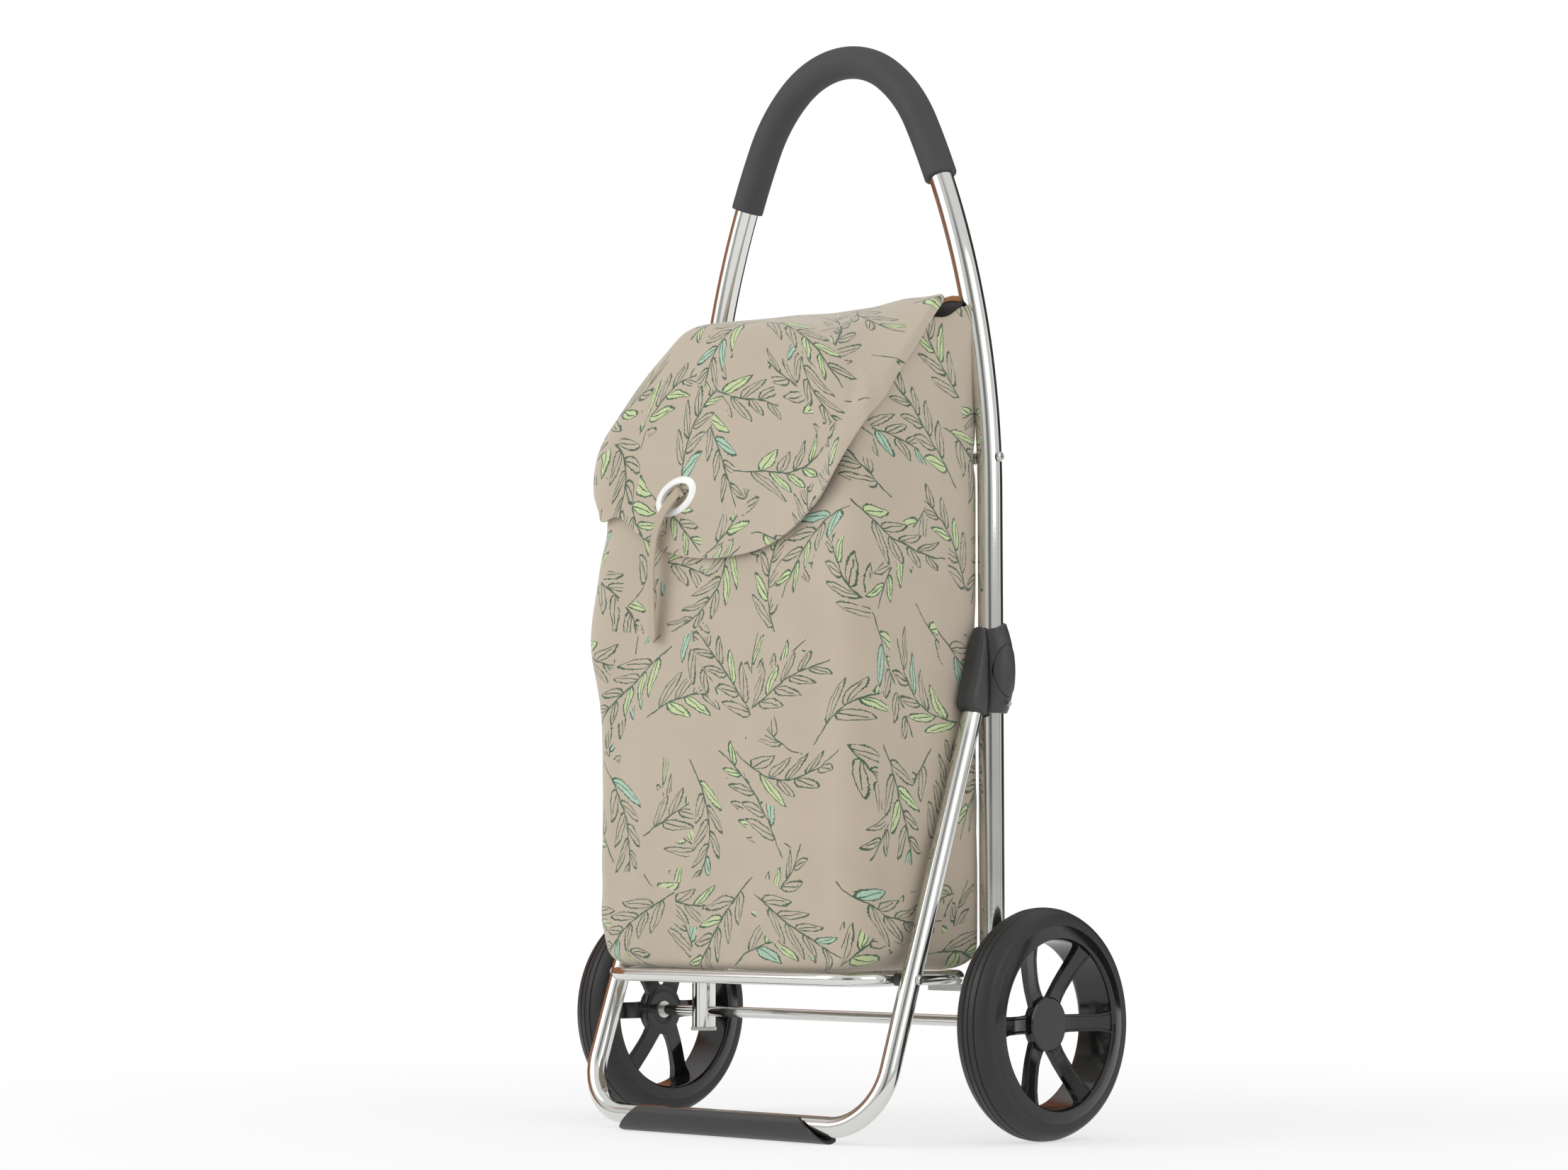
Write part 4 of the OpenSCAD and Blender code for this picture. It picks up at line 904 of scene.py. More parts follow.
def headMesh(side):
    rows = []

    def ringOf(front, rear, half, power):
        row = []
        for k in range(48):
            a = 2 * math.pi * k / 48
            c, s = math.cos(a), math.sin(a)
            square = power if c > 0 else 5.5
            u = math.copysign(abs(c) ** (2 / square), c)
            v = math.copysign(abs(s) ** (2 / square), s)
            y = (front[0] + rear[0]) / 2 + (front[0] - rear[0]) / 2 * u
            z = (front[1] + rear[1]) / 2 + (front[1] - rear[1]) / 2 * u
            row.append(place(side * (leg["x"] + half * v), y, z))
        return row

    first = head["rows"][0]
    below = ((first[0][0] + 1.2, first[0][1] - 1.4), (first[1][0] - 0.9, first[1][1] - 0.7))
    rows.append(ringOf(below[0], below[1], first[2] - 1.2, first[3]))
    for front, rear, half, power in head["rows"]:
        rows.append(ringOf(front, rear, half, power))
    mesh = netMesh("legHead", rows, None, closed=True, capStart=True, capEnd=True)
    faceOut(mesh)
    hingeY, hingeZ = leg["hinge"]
    turn = (Matrix.Translation(place(0, -hingeY, hingeZ)) @ Matrix.Rotation(-lean, 4, "X"))
    slotHalf = head["slot"] / 2000
    low = (side * leg["x"] / 1000 - slotHalf, -0.007, -0.0068)
    high = (side * leg["x"] / 1000 + slotHalf, 0.08, 0.12)
    cutter = boxMesh("slot", low, high, turn)
    faceOut(cutter)
    done = carve(mesh, cutter)
    softenShading(done, 38)
    return done


heads = []
for sideName, side in (("left", -1), ("right", 1)):
    clipPiece = addPiece("clip" + sideName.title(), clipMesh(side), "frame", greyPlastic,
                         ["clip_" + sideName])
    bevelEdges(clipPiece, 0.35, 2, 50)
    addPiece("button" + sideName.title(), buttonMesh(side), "release_" + sideName, greyPlastic,
             ["button_" + sideName])
    heads.append(headMesh(side))
headShape = joinMeshes("legHeads", heads)
softenShading(headShape, 38)
headPiece = addPiece("legHeads", headShape, "legs", greyPlastic, ["leg_ends"])
bevelEdges(headPiece, 0.5, 2, 50)
print("clips, buttons and leg heads made")

# oval eyelet: half lengths and half widths of its rim and hole, right end turned up
eyelet = {"x": -55.5, "z": 565.5, "turn": math.radians(20), "rim": (26.5, 16), "hole": (18.5, 10), "face": 2.2,
          "opening": 1.06}


# place along and across the eyelet, in millimetres
def onEyelet(x, z):
    dx, dz = x - eyelet["x"], z - eyelet["z"]
    c, s = math.cos(eyelet["turn"]), math.sin(eyelet["turn"])
    return dx * c + dz * s, dz * c - dx * s


# outline of the flap's free edge, out from the hinge to the middle of the front
flap = {"half": 164.5, "front": -158.6, "hingeY": -17, "crown": 741, "edge": 2.5, "columns": 120, "steps": 64,
        "corner": 24, "dip": 507, "cornerZ": 567, "tuck": 7,
        "sideHem": [(138, -17, 741), (147, -24, 738.5), (155, -33, 734), (160.5, -43, 729), (163.5, -55, 720),
                    (164.5, -77, 693), (164.5, -109, 657), (164.5, -134, 627)],
        "rightCorner": [618, 606, 585, 566], "leftCorner": [588, 554, 542, 552]}


def easeIn(v):
    v = min(1, max(0, v))
    return v * v * (3 - 2 * v)


# points spread evenly along a line, its ends kept
def evenLine(line, count):
    runs = [0.0]
    for p, q in zip(line, line[1:]):
        runs.append(runs[-1] + math.dist(p, q))
    even, j = [], 0
    for k in range(count + 1):
        want = runs[-1] * k / count
        while j < len(line) - 2 and runs[j + 1] < want:
            j += 1
        t = min(1, (want - runs[j]) / max(1e-9, runs[j + 1] - runs[j]))
        even.append(tuple(a + (b - a) * t for a, b in zip(line[j], line[j + 1])))
    return even


def easeLine(line, rounds):
    for _ in range(rounds):
        line = line[:1] + [tuple((a + 2 * b + c) / 4 for a, b, c in zip(p, q, s))
                           for p, q, s in zip(line, line[1:], line[2:])] + line[-1:]
    return line


def hemLine(side):
    r = flap["corner"]
    line = [(side * x, y, z) for x, y, z in flap["sideHem"]]
    for k, z in enumerate(flap["rightCorner"] if side > 0 else flap["leftCorner"]):
        a = math.radians(22.5 * (k + 1))
        line.append((side * (flap["half"] - r + r * math.cos(a)), flap["front"] + r - r * math.sin(a), z))
    reach = flap["half"] - r
    for k in range(1, 15):
        x = reach * (1 - k / 14)
        line.append((side * x, flap["front"],
                     flap["dip"] + (flap["cornerZ"] - flap["dip"]) * (x / reach) ** 2.5))
    return easeLine(evenLine(line, flap["columns"] // 2), 4)


# height of the sheet over the mouth: the middle stays high, the sides fall to the hem
def flapTop(x, y):
    s = min(1.02, max(0, (flap["hingeY"] - y) / 141))
    bend = (s - 0.165) + math.sqrt((s - 0.165) ** 2 + 0.0009)
    middle, side = flap["crown"] - 24 * s ** 0.85, 738 + flap["tuck"] * easeIn(s / 0.3) - 84 * bend
    return middle - (middle - side) * min(1, max(0, (abs(x) / 165 - 0.28) / 0.72)) ** 1.55


hems = {side: hemLine(side) for side in (-1, 1)}


# height of the flap's free edge beside a point of the bag
def hemOver(x, y):
    return min(hems[1 if x > 0 else -1], key=lambda p: (p[0] - x) ** 2 + (p[1] - y) ** 2)[2]


# bag
bag = {"half": 161, "front": -155, "rear": -9, "low": 145.3, "backTop": 735, "lip": 600, "sideTop": 717.5,
       "corner": 24, "rearCorner": 8, "rearX": 167, "rearOut": -1.2, "bowFrom": 112, "floorX": 30, "floorY": 12,
       "cloth": 3.0, "columns": 168, "step": 8.0}


# plan outline of the bag, evenly spaced, from the middle of the back anticlockwise seen from above
def bagPlan(count):
    r, rearR = bag["corner"], bag["rearCorner"]
    half = [(0, bag["rear"])]
    for k in range(25):
        x = bag["bowFrom"] + (bag["rearX"] - rearR - bag["bowFrom"]) * k / 24
        half.append((x, bag["rear"] + (bag["rearOut"] - bag["rear"]) * easeIn(k / 22)))
    for k in range(1, 13):
        a = math.radians(90 - 90 * k / 12)
        half.append((bag["rearX"] - rearR + rearR * math.cos(a), bag["rearOut"] - rearR + rearR * math.sin(a)))
    for k in range(1, 25):
        y = bag["rearOut"] - rearR + (-70 - bag["rearOut"] + rearR) * k / 24
        half.append((bag["half"] + (bag["rearX"] - bag["half"]) * easeIn((y + 62) / 44), y))
    for k in range(25):
        a = math.radians(90 * k / 24)
        half.append((bag["half"] - r + r * math.cos(a), bag["front"] + r - r * math.sin(a)))
    loop = half + [(-x, y) for x, y in reversed(half)]
    runs = sum(math.dist(p, q) for p, q in zip(loop, loop[1:]))
    return evenLine(loop, count)[:-1], runs


# top edge of the back panel, raised in waves beside the loops
def backTopAt(x):
    return bag["backTop"] + 6 * easeIn((abs(x) - 92) / 30) - 3.5 * easeIn((abs(x) - 138) / 24)


def mouthZ(x, y):
    side = min(bag["sideTop"], flapTop(min(abs(x), 158), y) - 6)
    if y > -42:
        side = bag["sideTop"] + 12 * easeIn((y + 42) / 22)
        side += (backTopAt(x) - bag["sideTop"] - 12) * easeIn((y + 13) / 6)
    if y < -150:
        side = bag["lip"] + (side - bag["lip"]) * easeIn((abs(x) - 118) / 32)
    return max(bag["lip"], side)


def bagRows():
    plan, total = bagPlan(bag["columns"])
    count = int((bag["backTop"] - bag["low"] - bag["floorX"]) / bag["step"])
    rows, uvs = [], []
    girth = [total * k / bag["columns"] / 1000 for k in range(bag["columns"] + 1)]

    def sideOf(x, y):
        # how much the wall here faces sideways, from 0 in front and behind to 1 at the side
        r = bag["corner"]
        ex, ey = max(0, abs(x) - (bag["half"] - r)), max(0, abs(y - (bag["front"] + bag["rear"]) / 2)
                                                       - ((bag["rear"] - bag["front"]) / 2 - r))
        return 0 if ex == 0 else (1 if ey == 0 else ex * ex / (ex * ex + ey * ey))

    for i in range(count + 1):
        row, uvRow = [], []
        for x, y in plan:
            top = mouthZ(x, y)
            low = bag["low"] + bag["floorY"] + (bag["floorX"] - bag["floorY"]) * sideOf(x, y)
            z = top + (low - top) * i / count
            # the side panels lean in at the top, under the flap
            inward = 3 * max(0, 1 - i / 2.5) * sideOf(x, y) * easeIn((-30 - y) / 20)
            row.append(place(math.copysign(abs(x) - inward, x), y, z))
            uvRow.append(z / 1000)
        rows.append(row)
        uvs.append([(g, v) for g, v in zip(girth, uvRow + uvRow[:1])])
    bends = 6
    for i in range(1, bends + 1):
        a = math.radians(90 * i / bends)
        row, uvRow = [], []
        for x, y in plan:
            s = sideOf(x, y)
            r = bag["floorY"] + (bag["floorX"] - bag["floorY"]) * s
            inX, inY = bag["floorX"] * (1 - math.cos(a)), bag["floorY"] * (1 - math.cos(a))
            px = math.copysign(max(0, abs(x) - inX * min(1, max(0, abs(x) - 60) / 60)), x)
            middleY = (bag["front"] + bag["rear"]) / 2
            reach = (bag["rear"] - bag["front"]) / 2
            py = middleY + (y - middleY) * (reach - inY) / reach
            row.append(place(px, py, bag["low"] + r * (1 - math.sin(a))))
            uvRow.append((bag["low"] + r * (1 - a * 2 / math.pi) - 4 * i / bends) / 1000)
        rows.append(row)
        uvs.append([(g, v) for g, v in zip(girth, uvRow + uvRow[:1])])
    last = rows[-1]
    middle = sum(last, Vector()) / len(last)
    for share in (0.84, 0.66, 0.48, 0.3, 0.14, 0.02):
        rows.append([middle + (p - middle) * share for p in last])
        uvs.append([(g, v[1] - 0.06 * (1 - share)) for g, v in zip(girth, uvs[count + bends])])
    return rows, uvs, count


# the cloth run, and how far the front corners are pushed out, in millimetres
swell = {"frames": 20, "pressure": 4.0, "mass": 0.35, "tension": 18, "compression": 12, "shear": 6, "bending": 0.7,
         "shrink": -0.022, "cornerPush": 6, "leftPush": 10, "leftZ": 440, "alongMost": 0.004}


def swellBag(piece, rows, count):
    # the cloth is held at its mouth, along the back and on the floor, and swells between them
    wide = len(rows[0])
    held = piece.vertex_groups.new(name="held")
    for i in range(len(rows)):
        for j in range(wide):
            p = rows[i][j]
            if i == 0 or i > count + 3:
                weight = 1.0
            elif p.y > place(0, -16, 0).y:
                weight = 0.9
            elif i <= 2:
                weight = 0.35
            else:
                weight = 0.0
            if weight:
                held.add([i * wide + j], weight, "REPLACE")
    cloth = piece.modifiers.new("swell", "CLOTH")
    cloth.settings.quality = 6
    cloth.settings.mass = swell["mass"]
    cloth.settings.tension_stiffness = swell["tension"]
    cloth.settings.compression_stiffness = swell["compression"]
    cloth.settings.shear_stiffness = swell["shear"]
    cloth.settings.bending_stiffness = swell["bending"]
    cloth.settings.use_pressure = True
    cloth.settings.uniform_pressure_force = swell["pressure"]
    cloth.settings.shrink_min = swell["shrink"]
    cloth.settings.vertex_group_mass = "held"
    cloth.settings.effector_weights.gravity = 0
    cloth.point_cache.frame_start = 1
    cloth.point_cache.frame_end = swell["frames"]
    for step in range(1, swell["frames"] + 1):
        scene.frame_set(step)
    swollen = piece.evaluated_get(bpy.context.evaluated_depsgraph_get())
    found = [v.co.copy() for v in swollen.data.vertices]
    piece.modifiers.remove(cloth)
    scene.frame_set(1)
    return found


# how far the cloth may stand out at this height and side, in metres
def swellRoom(p, normal):
    z, y = p.z * 1000, p.y * 1000 - axleY * 1000
    high = min(1, max(0, (z - 395) / 60))
    out = 0.0058 + 0.0032 * high
    if normal.y < -0.7:
        out = 0.0085 - 0.0075 * min(1, max(0, (z - 430) / 60))
    elif z > 480:
        out *= 0.12 + 0.88 * easeIn((hemOver(p.x * 1000, y) - 2 - z) / 34)
    out *= 1 - 0.95 * easeIn((y + 66) / 46)
    return max(0.0004, out) * min(1, max(0, (z - 150) / 60))


# keeps the rear corners off the uprights, the clips and the cross bar
def clearOf(p):
    x, y, z = p.x * 1000, (p.y - axleY) * 1000, p.z * 1000
    near = easeIn((z - 352) / 14) * easeIn((463 - z) / 14)
    away = 12.8 + 2.6 * near
    side = math.copysign(178, x)
    gap = math.hypot(x - side, y)
    if gap < away:
        x, y = side + (x - side) / gap * away, y / gap * away
    bar = math.exp(-((z - 595) / 16) ** 2)
    return place(x, min(y, -8.6 * bar - 0.8 * (1 - bar)), z)


def creaseOf(p):
    # soft folds: slanted ones low at the sides, long shallow ones over the front
    low = math.exp(-((p.z - 0.24) / 0.075) ** 2)
    slant = noise.noise(Vector((p.x * 9 + p.z * 24, p.y * 14, p.z * 11 + 3.1)))
    wide = noise.noise(Vector((p.x * 5.5, p.y * 6, p.z * 5.0 + 9.7)))
    fine = noise.noise(Vector((p.x * 21 + p.z * 9, p.y * 23, p.z * 13 + 5.3)))
    return 0.0022 * wide + 0.0026 * low * slant + 0.0007 * fine


# the piped front corners stand proud; the left one is pushed out under the flap
def cornerPush(p):
    x, y, z = p.x * 1000, (p.y - axleY) * 1000, p.z * 1000
    near = easeIn((abs(x) - 98) / 39) * easeIn((-88 - y) / 48)
    push = swell["cornerPush"] * easeIn((z - 150) / 45) * (1 - 0.67 * easeIn((z - 505) / 40))
    if x < 0:
        over = z - swell["leftZ"]
        push += swell["leftPush"] * math.exp(-(over / (60 if over > 0 else 45)) ** 2) * (1 - easeIn((z - 520) / 25))
    return near, Vector((math.copysign(0.62, x), -0.78, 0)) * push * near / 1000


rows, bagUvs, wallRows = bagRows()
bagShape = netMesh("bagBody", rows, bagUvs, closed=True, capEnd=True)
bagShape.flip_normals()
bagPiece = bpy.data.objects.new("bagBody", bagShape)
scene.collection.objects.link(bagPiece)
startPoints = [v.co.copy() for v in bagShape.vertices]
startNormals = [v.normal.copy() for v in bagShape.vertices]
if sum(n.x for p, n in zip(startPoints, startNormals) if p.x > 0.15) < 0:
    bagShape.flip_normals()
    startNormals = [-n for n in startNormals]
swollenPoints = swellBag(bagPiece, rows, wallRows)
wide = bag["columns"]
finalPoints = []
for index, (start, end, normal) in enumerate(zip(startPoints, swollenPoints, startNormals)):
    i = index // wide
    shift = end - start
    out = shift.dot(normal)
    room = swellRoom(start, normal)
    along = shift - normal * out
    if along.length > swell["alongMost"]:
        along = along.normalized() * swell["alongMost"]
    fade = min(1, i / 5) * min(1, max(0, (wallRows + 4 - i) / 6))
    if out > 0:
        out = room * (1 - math.exp(-out / max(room, 1e-5)))
    else:
        out = max(out, -swell["alongMost"])
    corner, push = cornerPush(start)
    out *= 1 - corner
    out += creaseOf(start) * fade * (0.25 if normal.y > 0.7 else 1)
    out = min(out, room)
    finalPoints.append(clearOf(start + (along + normal * out + push) * fade))
for vertex, p in zip(bagShape.vertices, finalPoints):
    vertex.co = p
bagShape.update()
print("bag swollen")


def lineWithCloth(piece, thick, inner, offset=-1.0):
    shell = piece.modifiers.new("cloth", "SOLIDIFY")
    shell.thickness = thick / 1000
    shell.offset = offset
    shell.use_even_offset = False
    shell.material_offset = 1
    shell.material_offset_rim = 0
    piece.data.materials.append(inner)


def settle(piece):
    done = bpy.data.meshes.new_from_object(piece.evaluated_get(bpy.context.evaluated_depsgraph_get()))
    piece.modifiers.clear()
    old = piece.data
    piece.data = done
    done.name = old.name
    return done


bagPiece.data.materials.append(bagCloth)
lineWithCloth(bagPiece, bag["cloth"], liningCloth)
finer = bagPiece.modifiers.new("finer", "SUBSURF")
finer.levels = finer.render_levels = 1
bpy.context.view_layer.update()
settle(bagPiece)
softenShading(bagPiece.data, 60)
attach(bagPiece, "frame")
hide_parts("bag_body")
print("bag made")

# webbing loops round the cross bar, and the brown binding on the back's top edge
loops = {"x": 95, "wide": 30, "tape": 1.9, "z": 595, "down": 562}


def ribbonMesh(name, line, wideWay, wide, thick):
    ways = headings(line)
    rows, uvs, run = [], [], 0.0
    for i, (p, way) in enumerate(zip(line, ways)):
        if i:
            run += (p - line[i - 1]).length
        flat = way.cross(wideWay).normalized()
        side, corner, low, top = wide / 2, wide / 2 - thick * 0.35, thick * 0.3, thick / 2
        section = [(-side, -low), (-corner, -top), (corner, -top), (side, -low),
                   (side, low), (corner, top), (-corner, top), (-side, low)]
        rows.append([p + wideWay * a + flat * b for a, b in section])
        uvs.append([(a, run) for a, _ in section + section[:1]])
    mesh = netMesh(name, rows, uvs, closed=True, capStart=True, capEnd=True)
    faceOut(mesh)
    softenShading(mesh, 50)
    return mesh


loopMeshes = []
for side in (-1, 1):
    x = side * loops["x"]
    path = [(-7.8, loops["down"]), (-7.9, 575), (-8.0, 587), (-7.9, 592)]
    path += [(7.3 * math.cos(math.radians(a)), loops["z"] + 7.3 * math.sin(math.radians(a)))
             for a in range(172, -131, -14)]
    path += [(-5.3, 587), (-5.7, 580), (-5.8, 572), (-5.8, loops["down"])]
    loopMeshes.append(ribbonMesh("loop", [place(x, y, z) for y, z in path], Vector((1, 0, 0)),
                                 loops["wide"] / 1000, loops["tape"] / 1000))
loopShape = joinMeshes("hangingLoops", loopMeshes)
softenShading(loopShape, 50)
addPiece("hangingLoops", loopShape, "frame", loopTape, ["bag_loops"])

binding = {"half": 159, "thick": 5.4, "tall": 5}


def bindingMesh():
    rows, uvs = [], []
    count = 48
    for i in range(count + 1):
        x = -binding["half"] + 2 * binding["half"] * i / count
        bow = (abs(x) - bag["bowFrom"]) / (bag["rearX"] - bag["rearCorner"] - bag["bowFrom"])
        middleY = bag["rear"] + (bag["rearOut"] - bag["rear"]) * easeIn(bow * 24 / 22) - bag["cloth"] / 2
        drop = binding["tall"]
        wave = 0.5 * math.sin(x * 0.09) + 0.4 * math.sin(x * 0.041 + 1)
        wave += 0.9 * math.sin(x * 0.19) * easeIn((abs(x) - 92) / 36)
        half = binding["thick"] / 2
        outline = [(half, -drop), (half, -half), (half * 0.75, -half * 0.3), (0, 0), (-half * 0.75, -half * 0.3),
                   (-half, -half), (-half, -drop), (-half + 0.9, -drop), (-half + 0.9, -half), (0, -1.0),
                   (half - 0.9, -half), (half - 0.9, -drop)]
        rows.append([place(x, middleY + y, backTopAt(x) + 1.4 + wave + z) for y, z in outline])
        uvs.append([(k * 0.0035, x / 1000) for k in range(len(outline) + 1)])
    mesh = netMesh("bindingStrip", rows, uvs, closed=True, capStart=True, capEnd=True)
    faceOut(mesh)
    softenShading(mesh, 60)
    return mesh


addPiece("bindingStrip", bindingMesh(), "frame", bindingTape)

# flap: one curved sheet over the mouth, with a rounded apron in front
def flapNetPoints():
    lines = []
    half = flap["columns"] // 2
    for side in (1, -1):
        part = []
        for k, (x, y, z) in enumerate(hems[side]):
            share = max(0.02, k / half)
            startX = side * 136 * (1 - share) ** 0.6
            overhang = max(0, z - flapTop(x, y))
            line = []
            for i in range(25):
                f = i / 24
                px, py = startX + (x - startX) * f, flap["hingeY"] + (y - flap["hingeY"]) * f
                line.append((px, py, flapTop(px, py) + overhang * f ** 3))
            if overhang == 0:
                line += [(x, y, line[-1][2] + (z - line[-1][2]) * i / 12) for i in range(1, 13)]
            part.append(easeLine(evenLine(line, flap["steps"]), 34))
        lines += part if side > 0 else part[:-1][::-1]
    return [list(row) for row in zip(*lines)]


# length of cloth from the hinge to this point, going straight forward
def clothRun(x, y, z):
    run, steps = 0.0, 10
    before = flapTop(x, flap["hingeY"])
    for k in range(1, steps + 1):
        height = flapTop(x, flap["hingeY"] + (y - flap["hingeY"]) * k / steps)
        run += math.hypot((y - flap["hingeY"]) / steps, height - before)
        before = height
    return run + max(0, before - z)


# waves on top, slack in front and flared corners, outward in millimetres
def flapSlack(x, y, z, normal):
    hem = hemOver(x, y)
    front = easeIn((-normal.y - 0.35) / 0.5)
    down = min(1, max(0, (690 - z) / 150))
    edgeNear = easeIn(1 - (z - hem) / 46)
    wave = noise.noise(Vector((x * 0.012, z * 0.011, 4.2))) * 3.2
    wave += noise.noise(Vector((x * 0.03, z * 0.02, 8.1))) * 1.1
    slack = front * (wave * down + edgeNear * (2.6 + 1.3 * math.sin(x * 0.055 + 0.8)))
    # the left corner swings out, the right one stands off in a kinked lobe
    curl = 1 - 0.6 * easeIn((hem + 24 - z) / 24)
    slack += 9.5 * curl * easeIn((-x - 108) / 46) * easeIn((662 - z) / 74) * easeIn((-112 - y) / 26)
    slack += easeIn((x - 116) / 34) * easeIn((-104 - y) / 30) * edgeNear * (6.5 + 2.5 * math.sin(y * 0.21 + x * 0.12))
    slack += 1.4 * math.exp(-((z - 712) / 8) ** 2) * math.exp(-((y + 150) / 12) ** 2)
    lift = noise.noise(Vector((x * 0.014, y * 0.02, 1.7))) * 1.6
    lift += 3.4 * math.exp(-((x + 40) / 34) ** 2) - 3.2 * math.exp(-((x - 48) / 26) ** 2)
    lift += 3.2 * math.exp(-((x - 112) / 24) ** 2)
    slack += lift * easeIn((normal.z - 0.3) / 0.5) * easeIn((flap["hingeY"] - y) / 16)
    along, over = onEyelet(x, z)
    nearRing = easeIn((math.hypot(along * 0.7, over) - 17) / 30) if front > 0.5 else 1
    return max(-1.2 if front > 0.5 else -3.5, slack) * nearRing


flapPoints = flapNetPoints()
flapUvs = [[(p[0] / 1000 + 2.0, 1.3 - clothRun(*p) / 1000) for p in row] for row in flapPoints]
flapShape = netMesh("bagFlap", [[place(*p) for p in row] for row in flapPoints], flapUvs)
if sum(f.normal.z for f in flapShape.polygons) < 0:
    flapShape.flip_normals()
slackMoves = [v.normal * flapSlack(v.co.x * 1000, (v.co.y - axleY) * 1000, v.co.z * 1000, v.normal) / 1000
              for v in flapShape.vertices]
for vertex, move in zip(flapShape.vertices, slackMoves):
    vertex.co += move
flapShape.update()
flapPiece = bpy.data.objects.new("bagFlap", flapShape)
scene.collection.objects.link(flapPiece)
flapPiece.data.materials.append(bagCloth)


# opens the eyelet's hole: points near it move out to the rim, and the faces inside go
def openHole(mesh):
    shape = bmesh.new()
    shape.from_mesh(mesh)
    long, wide = (size * eyelet["opening"] for size in eyelet["hole"])
    frontLimit = place(0, flap["front"] + 10, 0).y

    def reach(p):
        along, over = onEyelet(p.x * 1000, p.z * 1000)
        return math.hypot(along / long, over / wide)

    doomed = [f for f in shape.faces if f.calc_center_median().y < frontLimit and reach(f.calc_center_median()) < 1]
    bmesh.ops.delete(shape, geom=doomed, context="FACES")
    for v in shape.verts:
        if v.is_boundary and v.co.y < frontLimit and reach(v.co) < 1.7:
            share = 1 / reach(v.co)
            v.co.x = eyelet["x"] / 1000 + (v.co.x - eyelet["x"] / 1000) * share
            v.co.z = eyelet["z"] / 1000 + (v.co.z - eyelet["z"] / 1000) * share
    shape.to_mesh(mesh)
    shape.free()


openHole(flapShape)
shell = flapPiece.modifiers.new("cloth", "SOLIDIFY")
shell.thickness = flap["edge"] / 1000
shell.offset = -1.0
shell.material_offset = 1
flapPiece.data.materials.append(liningCloth)
edgeRound = flapPiece.modifiers.new("hem", "BEVEL")
edgeRound.width = 0.0008
edgeRound.segments = 2
edgeRound.limit_method = "ANGLE"
edgeRound.angle_limit = math.radians(60)
finer = flapPiece.modifiers.new("finer", "SUBSURF")
finer.levels = finer.render_levels = 1
bpy.context.view_layer.update()
settle(flapPiece)
softenShading(flapPiece.data, 60)
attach(flapPiece, "flap")
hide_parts("bag_flap")

# eyelet: oval ring with a rolled face, clamped through the flap
def eyeletMesh():
    # share of the way from hole to rim, and distance behind the flap's face
    outline = [(0, 0.0), (0, -1.4), (0.28, -eyelet["face"]), (0.62, -eyelet["face"] + 0.3), (1, -0.5),
               (1, 0.1), (0.9, 0.1), (0.32, 0.1), (0.22, 2.6), (0.9, 2.7), (0.95, 3.5), (0.04, 3.8), (0, 2.2)]
    c, s = math.cos(eyelet["turn"]), math.sin(eyelet["turn"])
    rows = []
    for share, out in rounded(outline, 0.12, 2):
        long, wide = (hole + (rim - hole) * share for hole, rim in zip(eyelet["hole"], eyelet["rim"]))
        row = []
        for k in range(96):
            along, over = long * math.cos(2 * math.pi * k / 96), wide * math.sin(2 * math.pi * k / 96)
            x, z = eyelet["x"] + along * c - over * s, eyelet["z"] + along * s + over * c
            row.append(place(x, flap["front"] + out, z))
        rows.append(row)
    mesh = netMesh("eyeletRing", rows, None, closed=True, loop=True)
    faceOut(mesh)
    softenShading(mesh, 50)
    return mesh


eyeletPiece = addPiece("eyeletRing", eyeletMesh(), "flap", eyeletPaint, ["eyelet"])
# the bag, flap, eyelet and strap each get a mesh of their own
for piece in (bagPiece, flapPiece, eyeletPiece, closingStrap):
    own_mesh(piece)
print("eyelet made")

# the pieces whose worked shape is right keep it
kept = {
    brightSteel: ["cross_bar_screws", "clip_rivets", "hinge_pins", "ring_screws", "axle_washers", "axle_clips",
                  "button_springs"],
    palePlastic: ["tube_plugs", "ring_rests"], sleevePlastic: ["foot_sleeve", "ring_spacers"],
    bearingPlastic: ["bush_left", "bush_right"], boardPlastic: ["bag_board"],
}
for finish, names in kept.items():
    for name in names:
        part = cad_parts[name]
        if not part.material_slots:
            part.data.materials.append(finish)
        for materialSlot in part.material_slots:
            materialSlot.material = finish
print("kept pieces finished")

# floor, light and room
floorShape = boxMesh("studioFloor", (-9, -9, -0.02), (9, 9, 0.0))
floorPiece = bpy.data.objects.new("studioFloor", floorShape)
scene.collection.objects.link(floorPiece)
floorFinish, floorTree, floorShader = newFinish("paleFloor")
floorShader.inputs["Base Color"].default_value = (0.93, 0.93, 0.93, 1)
floorShader.inputs["Roughness"].default_value = 0.9
floorShader.inputs["Specular IOR Level"].default_value = 0.0
path = addNode(floorTree, "ShaderNodeLightPath")
seen = sums(floorTree, "MAXIMUM", path.outputs["Is Camera Ray"],
            sums(floorTree, "MAXIMUM", path.outputs["Is Glossy Ray"], path.outputs["Is Transmission Ray"]))
paleGlow = addNode(floorTree, "ShaderNodeEmission", {"Color": (1, 1, 1, 1), "Strength": 1.0})
# pure white further out, so that only the object's own shadow shows
spotAt = vectorSums(floorTree, "LENGTH", objectSpace(floorTree))
share = spread(floorTree, spotAt, 0.55, 1.3, 0.62, 1.0)
paleMix = addNode(floorTree, "ShaderNodeMixShader", {"Fac": sums(floorTree, "MULTIPLY", seen, share)})
floorTree.links.new(floorShader.outputs[0], paleMix.inputs[1])
floorTree.links.new(paleGlow.outputs[0], paleMix.inputs[2])
floorTree.links.new(paleMix.outputs[0], floorTree.nodes["Material Output"].inputs["Surface"])
floorPiece.data.materials.append(floorFinish)

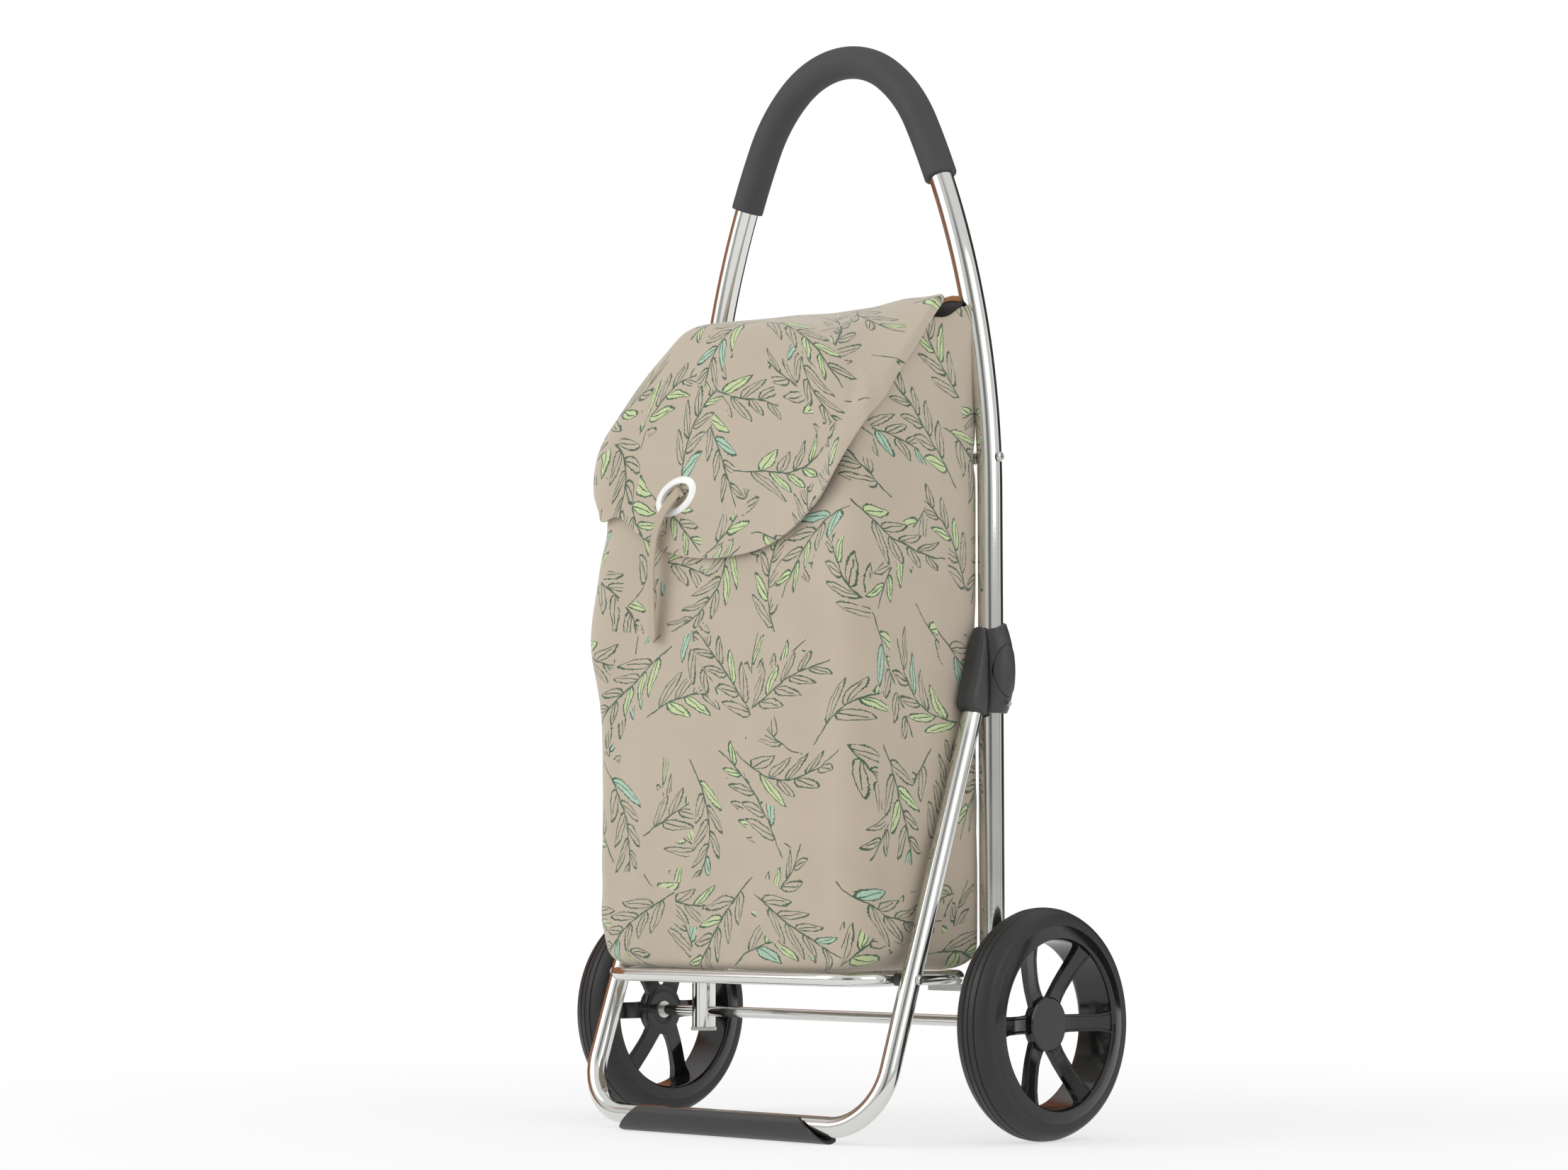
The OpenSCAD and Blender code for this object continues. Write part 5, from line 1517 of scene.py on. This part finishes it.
world = bpy.data.worlds.new("studioRoom")
scene.world = world
world.use_nodes = True
room = world.node_tree
for old in list(room.nodes):
    room.nodes.remove(old)
way = addNode(room, "ShaderNodeTexCoord").outputs["Generated"]
wayParts = addNode(room, "ShaderNodeSeparateXYZ", {"Vector": way})
around = sums(room, "ARCTAN2", wayParts.outputs[1], wayParts.outputs[0])
share = spread(room, around, -math.pi, math.pi)
ramp = addNode(room, "ShaderNodeValToRGB", {"Fac": share})
# grey room with pale screens, dark gaps and a wooden door, round the compass from -X
wood = (0.36, 0.157, 0.084, 1)
screens = [(0.085, wood), (0.1, 0.74), (0.3, 0.8), (0.316, 0.32), (0.345, 0.17), (0.374, 0.32), (0.392, 0.8),
           (0.5, 0.76), (0.585, 0.86), (0.6, 0.25), (0.613, 0.95), (0.652, 1.0), (0.672, 0.04), (0.86, 0.03),
           (0.875, wood), (1.0, wood)]
bar = ramp.color_ramp
while len(bar.elements) > 1:
    bar.elements.remove(bar.elements[-1])
bar.elements[0].position = 0.0
bar.elements[0].color = wood
for position, level in screens:
    stop = bar.elements.new(position)
    stop.color = level if isinstance(level, tuple) else (level, level, level * 0.985, 1)
# dimmer towards the floor line, plain and pale overhead
height = wayParts.outputs[2]
lower = mixColours(room, spread(room, height, -0.06, 0.17, 0.55, 0.0), ramp.outputs["Color"], (0, 0, 0, 1))
ceiling = mixColours(room, spread(room, height, 0.5, 0.72), lower, (0.86, 0.86, 0.86, 1))
roomPath = addNode(room, "ShaderNodeLightPath")
plain = addNode(room, "ShaderNodeBackground", {"Color": (1, 1, 1, 1), "Strength": 0.80})
mirrored = addNode(room, "ShaderNodeBackground", {"Color": ceiling, "Strength": 1.0})
behind = addNode(room, "ShaderNodeBackground", {"Color": (1, 1, 1, 1), "Strength": 1.0})
firstMix = addNode(room, "ShaderNodeMixShader", {"Fac": roomPath.outputs["Is Glossy Ray"]})
room.links.new(plain.outputs[0], firstMix.inputs[1])
room.links.new(mirrored.outputs[0], firstMix.inputs[2])
secondMix = addNode(room, "ShaderNodeMixShader",
                    {"Fac": sums(room, "MAXIMUM", roomPath.outputs["Is Camera Ray"],
                                 roomPath.outputs["Is Transmission Ray"])})
room.links.new(firstMix.outputs[0], secondMix.inputs[1])
room.links.new(behind.outputs[0], secondMix.inputs[2])
roomEnd = addNode(room, "ShaderNodeOutputWorld")
room.links.new(secondMix.outputs[0], roomEnd.inputs["Surface"])


def addLamp(name, at, aim, size, watts):
    data = bpy.data.lights.new(name, "AREA")
    data.energy = watts
    data.size = size
    lamp = bpy.data.objects.new(name, data)
    lamp.location = at
    lamp.rotation_euler = (Vector(aim) - Vector(at)).to_track_quat("-Z", "Y").to_euler()
    scene.collection.objects.link(lamp)


addLamp("frontScreen", (-1.6, -3.0, 2.2), (0, 0, 0.45), 2.4, 42)
addLamp("sideScreen", (3.2, -0.4, 1.8), (0, 0, 0.4), 2.0, 16)
print("room lit")
